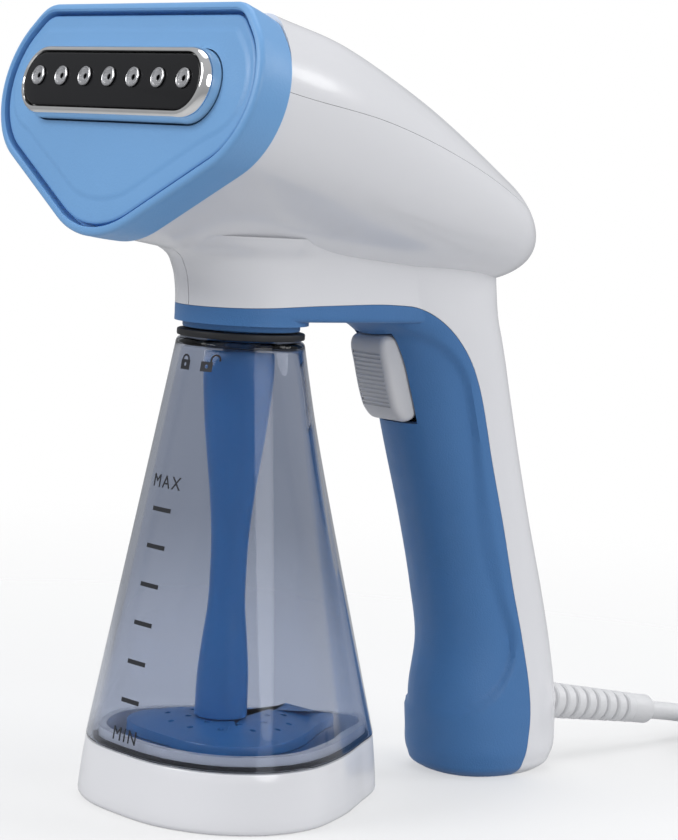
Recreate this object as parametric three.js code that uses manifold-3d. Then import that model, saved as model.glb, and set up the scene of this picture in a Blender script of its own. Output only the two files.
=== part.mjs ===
// A handheld garment steamer: a steam head on a tapered barrel, a pistol handle joined to it by a
// bridge, and a clear conical water tank that twists into a socket under the neck.
// Millimetres. +Z is up, -Y is the steam face, X = 0 is the plane of symmetry. The origin is on the
// axis of the tank's neck, at the underside of the tank's base.
import * as THREE from "three";
import { mergeVertices } from "three/addons/utils/BufferGeometryUtils.js";
import Module from "manifold-3d";

const wasm = await Module();
wasm.setup();

// ---------------------------------------------------------------- driving dimensions
const GAP = 0.3; // clearance between pieces that touch
const WALL = 2.4; // moulded shells
const AROUND = 36; // points round a lofted section
const REACH = 400; // longer than anything, for cutting solids

// steam head; its own frame has y as depth behind the face and z up from the line of steam holes
const FACE_Y = -46;
const FACE_Z = 206.5;
const FACE_TILT = 13.5; // degrees that the face looks up
const FACE_HALF_WIDTH = 59.75;
const FACE_TOP = 23;
const FACE_DROP = 43.5;
const BEZEL_DEPTH = 12;
const BEZEL_LIP = 2.4;
const BEZEL_SEAT = 7; // how far the bezel's inner ledge reaches in
const FACE_GROOVE = 1;
const FACE_THICK = 4.2;
const FACE_STEP_INSET = 7.5;
const FACE_STEP = 0.6;

// raised steam plate
const PLATE_MARGIN = 17.75; // from the plate's end to the face's widest point
const PLATE_HALF_LENGTH = FACE_HALF_WIDTH - PLATE_MARGIN;
const PLATE_HALF_HEIGHT = 8.9;
const PLATE_SHIFT = -0.8; // the plate's centre line from the line of holes
const PLATE_PROUD = 5;
const PLATE_DRAFT = 1.5;
const PLATE_RIM = 0.9;
const HOLES = 7;
const HOLE_MARGIN = 7.95; // from the last hole to the plate's end
const HOLE_PITCH = (2 * (PLATE_HALF_LENGTH - HOLE_MARGIN)) / (HOLES - 1);
const NOZZLE_FLANGE = 2.8;
const NOZZLE_TUBE = 1.9;
const NOZZLE_BORE = 1.2;

// barrel and its seam
const TAIL_Y = 105;
const TAIL_ROUND = 22;
const TAIL_TOP = 177;
const TAIL_BOTTOM = 153;
const TAIL_HALF_WIDTH = 22;

// twist-lock socket in the neck and the tank's spigot in it
const SPIGOT_RADIUS = 12.8;
const SPIGOT_TOP = 147;
const LUG_REACH = 1.1;
const LUG_HEIGHT = 2.2;
const LUG_HALF_ANGLE = 11;
const UNLOCK_TURN = 28;
const SOCKET_BORE = SPIGOT_RADIUS + LUG_REACH + GAP;
const COLLAR_RADIUS = SOCKET_BORE + 2.8;
const COLLAR_BOTTOM = 138.7;
const COLLAR_TOP = 150;

// neck and bridge
const NECK_RADIUS = COLLAR_RADIUS + WALL;
const NECK_BOTTOM = 140.6;
const BRIDGE_BOTTOM = 142;
const BRIDGE_BACK = 56; // centre of the bridge's rear rounding
const NECK_TOP = 166;

// handle
const HANDLE_HALF_WIDTH = 18.8;
const HANDLE_SQUARE = 2.4; // exponent of its superelliptic section

// tank
const TANK_SHOULDER = 136;
const TANK_TOP_RADIUS = COLLAR_RADIUS + 1.4;
const TANK_WALL = 2;
const TANK_RIM = 17.6;
const SEAL_THICK = 2;
const BASE_HALF_WIDTH = 42;
const BASE_FRONT = 36.5;
const BASE_BACK = 56.5;
const BASE_DRAFT = 1.6;
const BASE_WALL = 2.6;
const BASE_FLOOR = 3;
const SPIGOT_RISE = 4;

// suction stem and filter in the tank
const STEM_TOP_RADIUS = 10.2;
const STEM_WAIST = 5.3;
const STEM_FOOT = 7.7;
const STEM_SPIGOT = 5.3; // the stem's foot that passes into the filter
const STEM_BORE = 2.4;
const STEM_SOCKET = 5; // the stem's top, inside the spigot
const FILTER_TOP = 22.6;
const FILTER_DOME = 2.6;
const FILTER_INSET = 14;
const FILTER_WALL = 1.6;
const STRAINER_RADIUS = 1;
const STRAINER_Y = 3; // centre of the rings of holes
const STRAINER_RINGS = [[12, 8], [18, 12]]; // radius and number of holes

// inlet nipple
const NIPPLE_BORE = 1.8;
const NIPPLE_TUBE = 2.8;
const NIPPLE_REACH = 7; // how far it reaches down into the stem

// trigger
const TRIGGER_HALF_WIDTH = 8;
const TRIGGER_PIVOT = [60.5, 133];
const TRIGGER_BACK = 66;
const PIN_RADIUS = 1.5;
const RIBS = 8;
const RIB_RADIUS = 0.7;

// switch behind the trigger, its bracket and the trigger's spring
const SWITCH_FRONT = 76;
const SWITCH_BACK = 87;
const SWITCH_BOTTOM = 117;
const SWITCH_TOP = 128;
const SWITCH_HALF_WIDTH = 4;
const PLUNGER_RADIUS = 1.6;
const BRACKET_HALF_WIDTH = 12;
const BRACKET_ARM = 3;
const BRACKET_THICK = 2;
const SPRING_TURNS = 5;
const SPRING_RADIUS = 2.6;
const SPRING_WIRE = 0.5;
const SPRING_Z = 113.4;

// pump
const PUMP_Y = 26;
const PUMP_LENGTH = 34;
const PUMP_Z = 185;
const PUMP_RADIUS = 11;
const PUMP_BORE = 5;
const PUMP_PORT = 4;
const PUMP_PORT_LENGTH = 6;
const PUMP_END = 4; // thickness of the pump's end walls
const PLUNGER_STROKE = 3;
const HOSE_RADIUS = 3;

// cord
const CORD_RADIUS = 3;
const RELIEF_Y = 125;
const RELIEF_Z = 20;
const RELIEF_DROOP = 8.7; // degrees
const RELIEF_LENGTH = 57;
const RELIEF_RADIUS = 5.8;
const RELIEF_FLANGE = 2.2;
const RELIEF_RIBS = 8;
const RELIEF_PITCH = 5;
const RELIEF_FIRST = 8;
const RELIEF_GROOVE = 1.1;
const CLAMP_Z = 22.5;
const COIL_X = 42;
const COIL_Y = 240;
const COIL_TURN_RADII = [24, 42];
const COIL_LAYERS = 2;
const PLUG_LENGTH = 34;
const PLUG_HALF_WIDTH = 10;
const PLUG_HALF_THICK = 8;
const PLUG_CORNER = 4;
const BLADE_LENGTH = 17;
const BLADE_THICK = 1.5;
const BLADE_WIDE = 6.4;
const BLADE_APART = 12.7;
// the stretch from the strain relief to the coil
const CORD_POINTS = [
  [0, 181.9, 11.1],
  [0, 192, 9.6],
  [0, 203, 7.6],
  [0, 214, 4.9],
  [0, 217, 4.1],
];
const TAIL_POINTS = [
  [65.4, 282, 9],
  [70, 282, 8.8],
  [76, 282, 8.6],
];

// ---------------------------------------------------------------- finishes
const FINISHES = {
  white_gloss: { color: 0xf2f3f6, roughness: 0.2, metalness: 0 },
  face_blue: { color: 0x7db0e2, roughness: 0.45, metalness: 0 },
  grip_blue: { color: 0x4685c5, roughness: 0.6, metalness: 0 },
  stem_blue: { color: 0x2f63a8, roughness: 0.4, metalness: 0 },
  tank_smoke: { color: 0x8c99b0, roughness: 0.1, metalness: 0 },
  black_plate: { color: 0x141416, roughness: 0.3, metalness: 0 },
  chrome: { color: 0xd9d9db, roughness: 0.1, metalness: 1 },
  steel: { color: 0xb9b9bb, roughness: 0.3, metalness: 1 },
  cast_aluminium: { color: 0x9ea0a3, roughness: 0.6, metalness: 1 },
  black_rubber: { color: 0x1b1b1d, roughness: 0.8, metalness: 0 },
  trigger_grey: { color: 0xc3c6ce, roughness: 0.4, metalness: 0 },
  cord_white: { color: 0xe6e6e8, roughness: 0.5, metalness: 0 },
  hose_silicone: { color: 0xe8dcc8, roughness: 0.6, metalness: 0 },
  board_green: { color: 0x2c6b44, roughness: 0.6, metalness: 0 },
  sponge: { color: 0xd8c86a, roughness: 0.9, metalness: 0 },
};

// ---------------------------------------------------------------- solids
const rad = THREE.MathUtils.degToRad;
const lerp = THREE.MathUtils.lerp;

function closed(position, triangles) {
  return new wasm.Manifold(
    new wasm.Mesh({ numProp: 3, vertProperties: position, triVerts: triangles }),
  );
}

// The solid that a closed geometry bounds; a mirrored one is turned the right way round.
function solid(geometry) {
  const bare = geometry.clone();
  bare.deleteAttribute("normal");
  bare.deleteAttribute("uv");
  const merged = mergeVertices(bare, 1e-4);
  const kept = [];
  const index = merged.index.array;
  for (let i = 0; i < index.length; i += 3) {
    const [a, b, c] = [index[i], index[i + 1], index[i + 2]];
    if (a !== b && b !== c && c !== a) kept.push(a, b, c);
  }
  const position = merged.getAttribute("position").array;
  const made = closed(position, Uint32Array.from(kept));
  return made.volume() < 0 ? closed(position, Uint32Array.from(kept.reverse())) : made;
}

function joined(...solids) {
  return solids.reduce((all, one) => all.add(one));
}

function cut(body, ...tools) {
  return tools.reduce((left, tool) => left.subtract(tool), body);
}

function geometryOf(made) {
  const mesh = made.getMesh();
  const geometry = new THREE.BufferGeometry();
  geometry.setAttribute("position", new THREE.BufferAttribute(mesh.vertProperties, 3));
  geometry.setIndex(new THREE.BufferAttribute(mesh.triVerts, 1));
  return geometry;
}

function box(x0, x1, y0, y1, z0, z1) {
  const geometry = new THREE.BoxGeometry(x1 - x0, y1 - y0, z1 - z0);
  return solid(geometry.translate((x0 + x1) / 2, (y0 + y1) / 2, (z0 + z1) / 2));
}

// A round body turned about Z from [radius, z] pairs; it starts and ends on the axis or on itself.
function turnedShape(profile, segments = 40) {
  const points = profile.map(([radius, z]) => new THREE.Vector2(radius, z));
  return new THREE.LatheGeometry(points, segments).rotateX(Math.PI / 2);
}

function turned(profile, segments) {
  return solid(turnedShape(profile, segments));
}

function rodShape(radius, from, to, segments = 24) {
  return turnedShape([[0, from], [radius, from], [radius, to], [0, to]], segments);
}

function rodZ(radius, from, to, segments) {
  return solid(rodShape(radius, from, to, segments));
}

function rodY(radius, from, to, x, z, segments) {
  return solid(rodShape(radius, from, to, segments).rotateX(-Math.PI / 2).translate(x, 0, z));
}

function rodX(radius, from, to, y, z, segments) {
  return solid(rodShape(radius, from, to, segments).rotateY(Math.PI / 2).translate(0, y, z));
}

function ringZ(outer, inner, from, to, segments) {
  const profile = [[inner, from], [outer, from], [outer, to], [inner, to], [inner, from]];
  return turned(profile, segments);
}

// A side view in the YZ plane, drawn out along X.
function sideView(points, x0, x1) {
  const shape = new THREE.Shape(points.map(([y, z]) => new THREE.Vector2(y, z)));
  const geometry = new THREE.ExtrudeGeometry(shape, { depth: x1 - x0, bevelEnabled: false });
  geometry.applyMatrix4(
    new THREE.Matrix4().makeBasis(
      new THREE.Vector3(0, 1, 0),
      new THREE.Vector3(0, 0, 1),
      new THREE.Vector3(1, 0, 0),
    ),
  );
  return solid(geometry.translate(x0, 0, 0));
}

// A tube along a smooth curve through [x, y, z] points.
function tube(points, radius, steps, sides = 10) {
  const curve = new THREE.CatmullRomCurve3(points.map((p) => new THREE.Vector3(...p)));
  const circle = new THREE.Shape(new THREE.EllipseCurve(0, 0, radius, radius).getPoints(sides));
  return solid(new THREE.ExtrudeGeometry(circle, { steps, extrudePath: curve }));
}

// A loft: an extruded disc whose rings are moved to the given stations, one list of points each.
function loft(stations) {
  const around = stations[0].length;
  const steps = stations.length - 1;
  const disc = new THREE.Shape(new THREE.EllipseCurve(0, 0, 1, 1).getPoints(around).slice(0, -1));
  const geometry = new THREE.ExtrudeGeometry(disc, { depth: 1, steps, bevelEnabled: false });
  const place = geometry.getAttribute("position");
  for (let i = 0; i < place.count; i += 1) {
    const turn = Math.atan2(place.getY(i), place.getX(i)) / (2 * Math.PI);
    const index = Math.round((turn + 1) * around) % around;
    const to = stations[Math.round(place.getZ(i) * steps)][index];
    place.setXYZ(i, to.x, to.y, to.z);
  }
  return solid(geometry);
}

// ---------------------------------------------------------------- outlines
// A convex outline whose corners [x, y, radius], given anticlockwise, are rounded by arcs.
function roundedOutline(corners) {
  const shape = new THREE.Shape();
  corners.forEach(([x, y, radius], i) => {
    const corner = new THREE.Vector2(x, y);
    const [px, py] = corners.at(i - 1);
    const [nx, ny] = corners[(i + 1) % corners.length];
    const back = new THREE.Vector2(px, py).sub(corner).normalize();
    const on = new THREE.Vector2(nx, ny).sub(corner).normalize();
    const half = Math.acos(back.dot(on)) / 2;
    const centre = back.clone().add(on).normalize().multiplyScalar(radius / Math.sin(half)).add(corner);
    const reach = radius / Math.tan(half);
    const start = back.multiplyScalar(reach).add(corner).sub(centre);
    const end = on.multiplyScalar(reach).add(corner).sub(centre);
    shape.absarc(centre.x, centre.y, radius, start.angle(), end.angle(), false);
  });
  return shape;
}

// Points spaced evenly along a closed curve, the first repeated point left off.
function ringOf(curve, count = AROUND) {
  return curve.getSpacedPoints(count).slice(0, count).map((p) => new THREE.Vector2(p.x, p.y));
}

// The same ring moved in by a distance, along its own normals; the ring is anticlockwise.
function inset(ring, distance) {
  return ring.map((point, i) => {
    const along = ring[(i + 1) % ring.length].clone().sub(ring.at(i - 1)).normalize();
    return new THREE.Vector2(point.x - along.y * distance, point.y + along.x * distance);
  });
}

// Rings of an outline at heights: [height, inset] pairs.
function stacked(ring, levels) {
  return loft(
    levels.map(([z, distance]) => inset(ring, distance).map((p) => new THREE.Vector3(p.x, p.y, z))),
  );
}

// Rings in the head's frame, where an outline stands upright and is drawn out in depth.
function headStacked(ring, levels) {
  return loft(
    levels.map(([depth, distance]) =>
      inset(ring, distance).map((p) => new THREE.Vector3(p.x, depth, p.y)),
    ),
  );
}

const faceRing = (() => {
  const top = [0.776 * FACE_HALF_WIDTH, FACE_TOP, 11];
  const side = [1.262 * FACE_HALF_WIDTH, -0.154 * FACE_DROP, 24.8];
  const tip = [0, -1.116 * FACE_DROP, 35];
  const mirrored = ([x, y, radius]) => [-x, y, radius];
  const outline = roundedOutline([mirrored(top), mirrored(side), tip, side, top]);
  const ring = ringOf(outline, 4 * AROUND);
  const apex = ring.reduce((best, p, i) => {
    const closer = p.y > 0 && Math.abs(p.x) < Math.abs(ring[best].x);
    return closer || ring[best].y < 0 ? i : best;
  }, 0);
  return Array.from({ length: AROUND }, (_, i) => ring[(apex + 4 * i) % ring.length]);
})();

function stadiumRing(halfLength, halfHeight, centre = 0) {
  const shape = new THREE.Shape();
  const run = halfLength - halfHeight;
  shape.absarc(run, centre, halfHeight, -Math.PI / 2, Math.PI / 2, false);
  shape.absarc(-run, centre, halfHeight, Math.PI / 2, (3 * Math.PI) / 2, false);
  return ringOf(shape);
}

// The base's outline: a wide front and a rounded tip at the back.
const baseRing = (() => {
  const [w, f, b] = [BASE_HALF_WIDTH, BASE_FRONT, BASE_BACK];
  const right = [
    [0.42 * w, -0.95 * f],
    [0.76 * w, -0.73 * f],
    [0.96 * w, -0.36 * f],
    [0.98 * w, 0.04 * b],
    [0.82 * w, 0.34 * b],
    [0.54 * w, 0.66 * b],
    [0.27 * w, 0.92 * b],
  ];
  const left = right.map(([x, y]) => [-x, y]).reverse();
  const points = [[0, -f], ...right, [0, b], ...left].map(([x, y]) => new THREE.Vector3(x, y, 0));
  return ringOf(new THREE.CatmullRomCurve3(points, true));
})();

// ---------------------------------------------------------------- the body's outer and inner forms
// Barrel sections: how far back, top, bottom and half width of the section, before the tail rounds off.
const BARREL = [
  [-34, FACE_Z + FACE_TOP - 3.1, FACE_Z - FACE_DROP + 0.8, FACE_HALF_WIDTH - 2.2],
  [0, FACE_Z + FACE_TOP - 5.1, 158.5, FACE_HALF_WIDTH - 8.25],
  [40, 212.5, 156, FACE_HALF_WIDTH - 17.75],
  [TAIL_Y - TAIL_ROUND, 190, 153.8, 30],
  [TAIL_Y, TAIL_TOP, TAIL_BOTTOM, TAIL_HALF_WIDTH],
];

const barrelProfile = new THREE.CubicInterpolant(
  BARREL.map((row) => row[0]),
  BARREL.flatMap((row) => row.slice(1)),
  3,
);

// The barrel's stations go from a kite like the face to an ellipse, and the tail closes like a dome.
function barrel(distance) {
  const stations = [];
  const behindBezel = (BEZEL_DEPTH + GAP) / Math.cos(rad(FACE_TILT));
  const front = FACE_Y + behindBezel - distance; // the inner form runs out of the open front
  const roundFrom = TAIL_Y - TAIL_ROUND;
  const straight = 8;
  const domed = 5;
  const depths = [];
  for (let i = 0; i <= straight; i += 1) depths.push([lerp(front, roundFrom, i / straight), 1]);
  for (let i = 1; i <= domed; i += 1) {
    const angle = rad((84 * i) / domed);
    depths.push([roundFrom + (TAIL_ROUND - distance) * Math.sin(angle), Math.cos(angle)]);
  }
  depths.forEach(([y, shrink], n) => {
    const along = Math.min(1, (y - front) / (roundFrom - front));
    const kite = (1 - along) ** 1.6;
    const [outerTop, outerBottom, outerHalf] = barrelProfile.evaluate(y);
    const top = outerTop - distance;
    const bottom = outerBottom + distance;
    const half = outerHalf - distance;
    const middle = (top + bottom) / 2;
    const tilt = n === 0 ? Math.tan(rad(FACE_TILT)) : Math.tan(rad(FACE_TILT)) * (1 - along) ** 2;
    const faceMiddle = (FACE_TOP - FACE_DROP) / 2;
    stations.push(
      faceRing.map((p, i) => {
        const angle = Math.PI / 2 + (2 * Math.PI * i) / AROUND;
        const across = (half * p.x) / FACE_HALF_WIDTH;
        const up = ((top - bottom) * (p.y - faceMiddle)) / (FACE_TOP + FACE_DROP);
        const x = lerp(half * Math.cos(angle), across, kite);
        const rise = lerp(((top - bottom) / 2) * Math.sin(angle), up, kite);
        const z = middle + shrink * rise;
        return new THREE.Vector3(shrink * x, y + tilt * (z - FACE_Z), z);
      }),
    );
  });
  return loft(stations);
}

// How far the neck flares forward by height.
const NECK = [
  [BRIDGE_BOTTOM, 0],
  [150, 0.388],
  [156, 1.94],
  [160, 4.656],
  [163, 10.67],
  [NECK_TOP, 15.52],
];

function neck(distance) {
  const radius = NECK_RADIUS - distance;
  const shape = new THREE.Shape();
  shape.absarc(0, 0, radius, Math.PI, 2 * Math.PI, false);
  shape.absarc(0, BRIDGE_BACK, radius, 0, Math.PI, false);
  const ring = ringOf(shape);
  const fade = 45; // the flare has gone this far behind the neck's axis
  return loft(
    NECK.map(([z, reach], n) => {
      const flare = 1 + reach / NECK_RADIUS;
      const raised = n === 0 || n === NECK.length - 1 ? distance : 0;
      return ring.map((p) => {
        const share = p.y < 0 ? 1 : Math.max(0, 1 - p.y / fade) ** 2;
        const forward = p.y < 0 ? flare : 1;
        const slim = 1 - 0.09 * Math.min(1, Math.max(0, p.y) / BRIDGE_BACK) ** 2;
        const across = slim * (1 + (flare - 1) * 0.45 * share);
        return new THREE.Vector3(p.x * across, p.y * forward, z + raised);
      });
    }),
  );
}

// Handle sections: height, front, back and half width as a share of the full one.
const HANDLE = [
  [0, 87, 123, 0.8],
  [1.6, 83.8, 126.6, 0.92],
  [5, 81.6, 129, 1],
  [14, 80, 130, 1.03],
  [25, 79, 129, 1.02],
  [42, 80.6, 125, 0.98],
  [58, 77.3, 120, 0.98],
  [80, 71, 112.6, 0.98],
  [102, 63.4, 106, 0.98],
  [121, 57, 100.6, 0.99],
  [132, 52.4, 97.6, 1],
  [138, 48, 96, 1],
  [BRIDGE_BOTTOM + 0.4, 41, 95, 1],
  [150, 34, 94, 1],
  [NECK_TOP, 34, 92, 1],
];

function handle(distance) {
  const bulge = 2 / HANDLE_SQUARE;
  const power = (value) => Math.sign(value) * Math.abs(value) ** bulge;
  return loft(
    HANDLE.map(([z, front, back, share], n) => {
      const half = HANDLE_HALF_WIDTH * share - distance;
      const depth = (back - front) / 2 - distance;
      const level = n === 0 ? z + distance : Math.max(z, 1.05 * distance);
      return Array.from({ length: AROUND }, (_, i) => {
        const angle = (2 * Math.PI * i) / AROUND;
        const x = half * power(Math.cos(angle));
        return new THREE.Vector3(x, (front + back) / 2 + depth * power(Math.sin(angle)), level);
      });
    }),
  );
}

// ---------------------------------------------------------------- regions that split the body
// Everything above the seam between the barrel and its top cover.
const SEAM = [[-90, 217], [-34, 205.5], [10, 199.5], [45, 191.5], [75, 182], [95, 173], [140, 150]];

function curvePoints(points, count) {
  const curve = new THREE.SplineCurve(points.map(([y, z]) => new THREE.Vector2(y, z)));
  return curve.getPoints(count).map((p) => [p.x, p.y]);
}

function aboveSeam(shift) {
  const line = curvePoints(SEAM, 12).map(([y, z]) => [y, z + shift]);
  return sideView([...line, [140, REACH], [-90, REACH]], -REACH, REACH);
}

// Everything in front of and below the edge of the soft grip.
const GRIP_EDGE = [
  [-60, 145.4],
  [-20, 145.4],
  [17, 146.9],
  [42, 147.3],
  [54, 146],
  [65, 140.2],
  [73, 132],
  [78.5, 122],
  [86, 98.5],
  [92.4, 78.7],
  [98, 59.8],
  [103, 44.8],
  [107, 29],
  [108.2, 18],
  [107, 6],
  [104, -6],
];

function gripRegion(shift) {
  const line = curvePoints(GRIP_EDGE, 30).map(([y, z]) => [y + shift, z + shift]);
  return sideView([...line, [104, -40], [-60, -40]], -REACH, REACH);
}

// ---------------------------------------------------------------- assembly
const steamer = new THREE.Group();
const head = new THREE.Group();
head.position.set(0, FACE_Y, FACE_Z);
head.rotation.x = -rad(FACE_TILT);
steamer.add(head);

function add(group, name, made, finish) {
  const mesh = new THREE.Mesh(geometryOf(made), new THREE.MeshStandardMaterial(FINISHES[finish]));
  mesh.name = name;
  group.add(mesh);
}

// ---- shells
const bodyOuter = joined(barrel(0), neck(0), handle(0), rodZ(NECK_RADIUS, NECK_BOTTOM, NECK_TOP, 48));
const bodyInner = joined(
  barrel(WALL),
  neck(WALL),
  handle(WALL),
  rodZ(NECK_RADIUS - WALL, NECK_BOTTOM + WALL, NECK_TOP, 48),
);
const socket = rodZ(COLLAR_RADIUS + GAP, NECK_BOTTOM - 10, NECK_BOTTOM + WALL + 1, 48);

// The cord leaves the handle's back low down, sloping.
function reliefFrame(geometry) {
  return geometry.rotateX(-Math.PI / 2).rotateX(-rad(RELIEF_DROOP)).translate(0, RELIEF_Y, RELIEF_Z);
}
const reliefHole = solid(reliefFrame(rodShape(RELIEF_RADIUS + GAP, -8, 20)));

const slotReach = TRIGGER_HALF_WIDTH + 2 * GAP;
const triggerSlot = box(-slotReach, slotReach, 30, 70, 110, 139.2);

const shell = cut(bodyOuter, bodyInner, socket, reliefHole, triggerSlot);
const lowerWhite = cut(shell, gripRegion(GAP / 2), aboveSeam(-GAP / 2));
const coverWhite = shell.intersect(aboveSeam(GAP / 2));

// Screws clamp the two halves: [y, z] of each.
const SCREWS = [[112, 66], [117.5, 40], [84, 164]];
const BOSS = 3.6;
const SCREW_SHANK = 1.5;
const SCREW_HEAD = 2.8;
const SCREW_HEAD_X = -12.5;

function bosses(side) {
  return SCREWS.map(([y, z]) => {
    const [from, to] = side < 0 ? [-REACH, -GAP / 2] : [GAP / 2, REACH];
    return rodX(BOSS, from, to, y, z, 12).intersect(bodyOuter);
  });
}

function halfHousing(side) {
  const limits = side < 0 ? [-REACH, -GAP / 2] : [GAP / 2, REACH];
  const half = lowerWhite.intersect(box(...limits, -REACH, REACH, -REACH, REACH));
  const bored = SCREWS.flatMap(([y, z]) => [
    rodX(SCREW_SHANK + GAP, -REACH, 8, y, z, 10),
    rodX(SCREW_HEAD + GAP, -REACH, SCREW_HEAD_X + 2, y, z, 12),
  ]);
  return cut(joined(half, ...bosses(side)), ...bored);
}

add(steamer, "housing_left", halfHousing(-1), "white_gloss");
add(steamer, "housing_right", halfHousing(1), "white_gloss");
add(steamer, "top_cover", coverWhite, "white_gloss");
add(steamer, "grip_shell", shell.intersect(gripRegion(-GAP / 2)), "grip_blue");

SCREWS.forEach(([y, z], n) => {
  const profile = [
    [0, SCREW_HEAD_X],
    [SCREW_HEAD, SCREW_HEAD_X],
    [SCREW_HEAD, SCREW_HEAD_X + 1.6],
    [SCREW_SHANK, SCREW_HEAD_X + 1.7],
    [SCREW_SHANK, 6],
    [0, 7.6],
  ];
  const screw = turnedShape(profile, 10).rotateY(Math.PI / 2).translate(0, y, z);
  add(steamer, `housing_screw_${n + 1}`, solid(screw), "steel");
});

// ---- steam head
const pocket = headStacked(faceRing, [[-5, BEZEL_LIP], [FACE_THICK + GAP, BEZEL_LIP]]);
const opening = headStacked(faceRing, [[-5, BEZEL_SEAT], [BEZEL_DEPTH + 5, BEZEL_SEAT]]);
const bezel = headStacked(faceRing, [[0, 1.2], [0.4, 0.5], [1.2, 0], [BEZEL_DEPTH, 1.4]]);
add(head, "head_bezel", cut(bezel, pocket, opening), "face_blue");

const frameBase = [PLATE_HALF_LENGTH + PLATE_DRAFT, PLATE_HALF_HEIGHT + PLATE_DRAFT];
const frameRing = stadiumRing(...frameBase, PLATE_SHIFT);
const plateRing = inset(frameRing, PLATE_DRAFT + PLATE_RIM);
const faceEdge = BEZEL_LIP + FACE_GROOVE;
const facePlate = joined(
  headStacked(faceRing, [[0.5, faceEdge + 0.5], [1, faceEdge], [FACE_THICK, faceEdge]]),
  headStacked(faceRing, [[0.5 - FACE_STEP, FACE_STEP_INSET + 0.4], [1, FACE_STEP_INSET]]),
);
const frameHole = headStacked(frameRing, [[-5, -GAP], [FACE_THICK + 5, -GAP]]);
add(head, "face_plate", cut(facePlate, frameHole), "face_blue");

const frame = headStacked(frameRing, [
  [-PLATE_PROUD, PLATE_DRAFT + 0.4],
  [-PLATE_PROUD + 0.6, PLATE_DRAFT],
  [0, 0],
  [FACE_THICK + 2, 0],
]);
const plateSeat = headStacked(plateRing, [[-PLATE_PROUD - 2, 0], [-PLATE_PROUD + 2.2, 0]]);
const nozzleWay = headStacked(plateRing, [[-PLATE_PROUD - 2, 2.4], [FACE_THICK + 5, 2.4]]);
add(head, "steam_plate_frame", cut(frame, plateSeat, nozzleWay), "chrome");

const holeX = (n) => (n - (HOLES - 1) / 2) * HOLE_PITCH;
const nozzleBores = Array.from({ length: HOLES }, (_, n) =>
  rodY(NOZZLE_TUBE + GAP, -20, BEZEL_DEPTH + 2, holeX(n), 0, 12),
);
const plateFace = -PLATE_PROUD + 0.3;
const plateBack = plateFace + 1.6;
const steamPlate = headStacked(plateRing, [[plateFace, GAP], [plateBack, GAP]]);
add(head, "steam_plate", cut(steamPlate, ...nozzleBores), "black_plate");

for (let n = 0; n < HOLES; n += 1) {
  const front = plateFace - GAP;
  const profile = [
    [NOZZLE_BORE, front - 0.5],
    [NOZZLE_FLANGE, front - 0.5],
    [NOZZLE_FLANGE, front],
    [NOZZLE_TUBE, front],
    [NOZZLE_TUBE, BEZEL_DEPTH],
    [NOZZLE_BORE, BEZEL_DEPTH],
    [NOZZLE_BORE, front - 0.5],
  ];
  const nozzle = turnedShape(profile, 12).rotateX(-Math.PI / 2).translate(holeX(n), 0, 0);
  add(head, `steam_nozzle_${n + 1}`, solid(nozzle), "steel");
}

// ---- boiler, in the head's frame
const BOILER_FRONT = FACE_THICK + 2 + GAP;
const BOILER_BACK = 32;
const BOILER_WALL = 4;
const BOILER_HALF_HEIGHT = PLATE_HALF_HEIGHT + 3.1;
const BOILER_COVER = 3;
const boilerRing = stadiumRing(PLATE_HALF_LENGTH - 1, BOILER_HALF_HEIGHT, PLATE_SHIFT);
const boiler = headStacked(boilerRing, [[BOILER_FRONT, 0], [BOILER_BACK, 0]]);
const chamber = headStacked(boilerRing, [[BEZEL_DEPTH + 1, BOILER_WALL], [BOILER_BACK + 5, BOILER_WALL]]);
add(head, "boiler_body", cut(boiler, chamber, ...nozzleBores), "cast_aluminium");
const coverBack = BOILER_BACK + GAP + BOILER_COVER;
const boilerCover = headStacked(boilerRing, [[BOILER_BACK + GAP, 0], [coverBack, 0]]);
const feedPort = rodY(2, BOILER_BACK - 5, coverBack + 10, 0, PLATE_SHIFT, 16);
add(head, "boiler_cover", cut(boilerCover, feedPort), "cast_aluminium");

const elementRadius = 3.2;
const elementDepth = coverBack + GAP + elementRadius;
const elementPath = [
  [-24, elementDepth + 14, 6],
  [-24, elementDepth + 4, 6],
  [-26, elementDepth, 0],
  [-20, elementDepth, -7],
  [0, elementDepth, -8],
  [20, elementDepth, -7],
  [26, elementDepth, 0],
  [24, elementDepth + 4, 6],
  [24, elementDepth + 14, 6],
];
add(head, "heating_element", tube(elementPath, elementRadius, 24, 10), "steel");

const boilerTop = PLATE_SHIFT + BOILER_HALF_HEIGHT + GAP;
const boilerMiddle = 20;
const thermostat = joined(
  solid(rodShape(7, boilerTop, boilerTop + 3, 24).translate(-14, boilerMiddle, 0)),
  solid(rodShape(5, boilerTop, boilerTop + 5.5, 24).translate(-14, boilerMiddle, 0)),
);
add(head, "thermostat", thermostat, "steel");
const fuseRadius = 2.2;
const fuse = rodX(fuseRadius, 6, 20, boilerMiddle, boilerTop + fuseRadius + 0.1, 14);
add(head, "thermal_fuse", fuse, "trigger_grey");

// ---- socket for the tank
const ledgeZ = [COLLAR_BOTTOM + 1, COLLAR_BOTTOM + 4.2];
const collarProfile = [
  [SOCKET_BORE, COLLAR_BOTTOM],
  [COLLAR_RADIUS, COLLAR_BOTTOM],
  [COLLAR_RADIUS, NECK_BOTTOM + WALL],
  [COLLAR_RADIUS - 0.6, NECK_BOTTOM + WALL + 0.2],
  [COLLAR_RADIUS - 0.6, COLLAR_TOP],
  [COLLAR_RADIUS - 5, COLLAR_TOP],
  [COLLAR_RADIUS - 5, COLLAR_TOP - 1.8],
  [SOCKET_BORE, COLLAR_TOP - 1.8],
  [SOCKET_BORE, COLLAR_BOTTOM],
];

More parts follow.
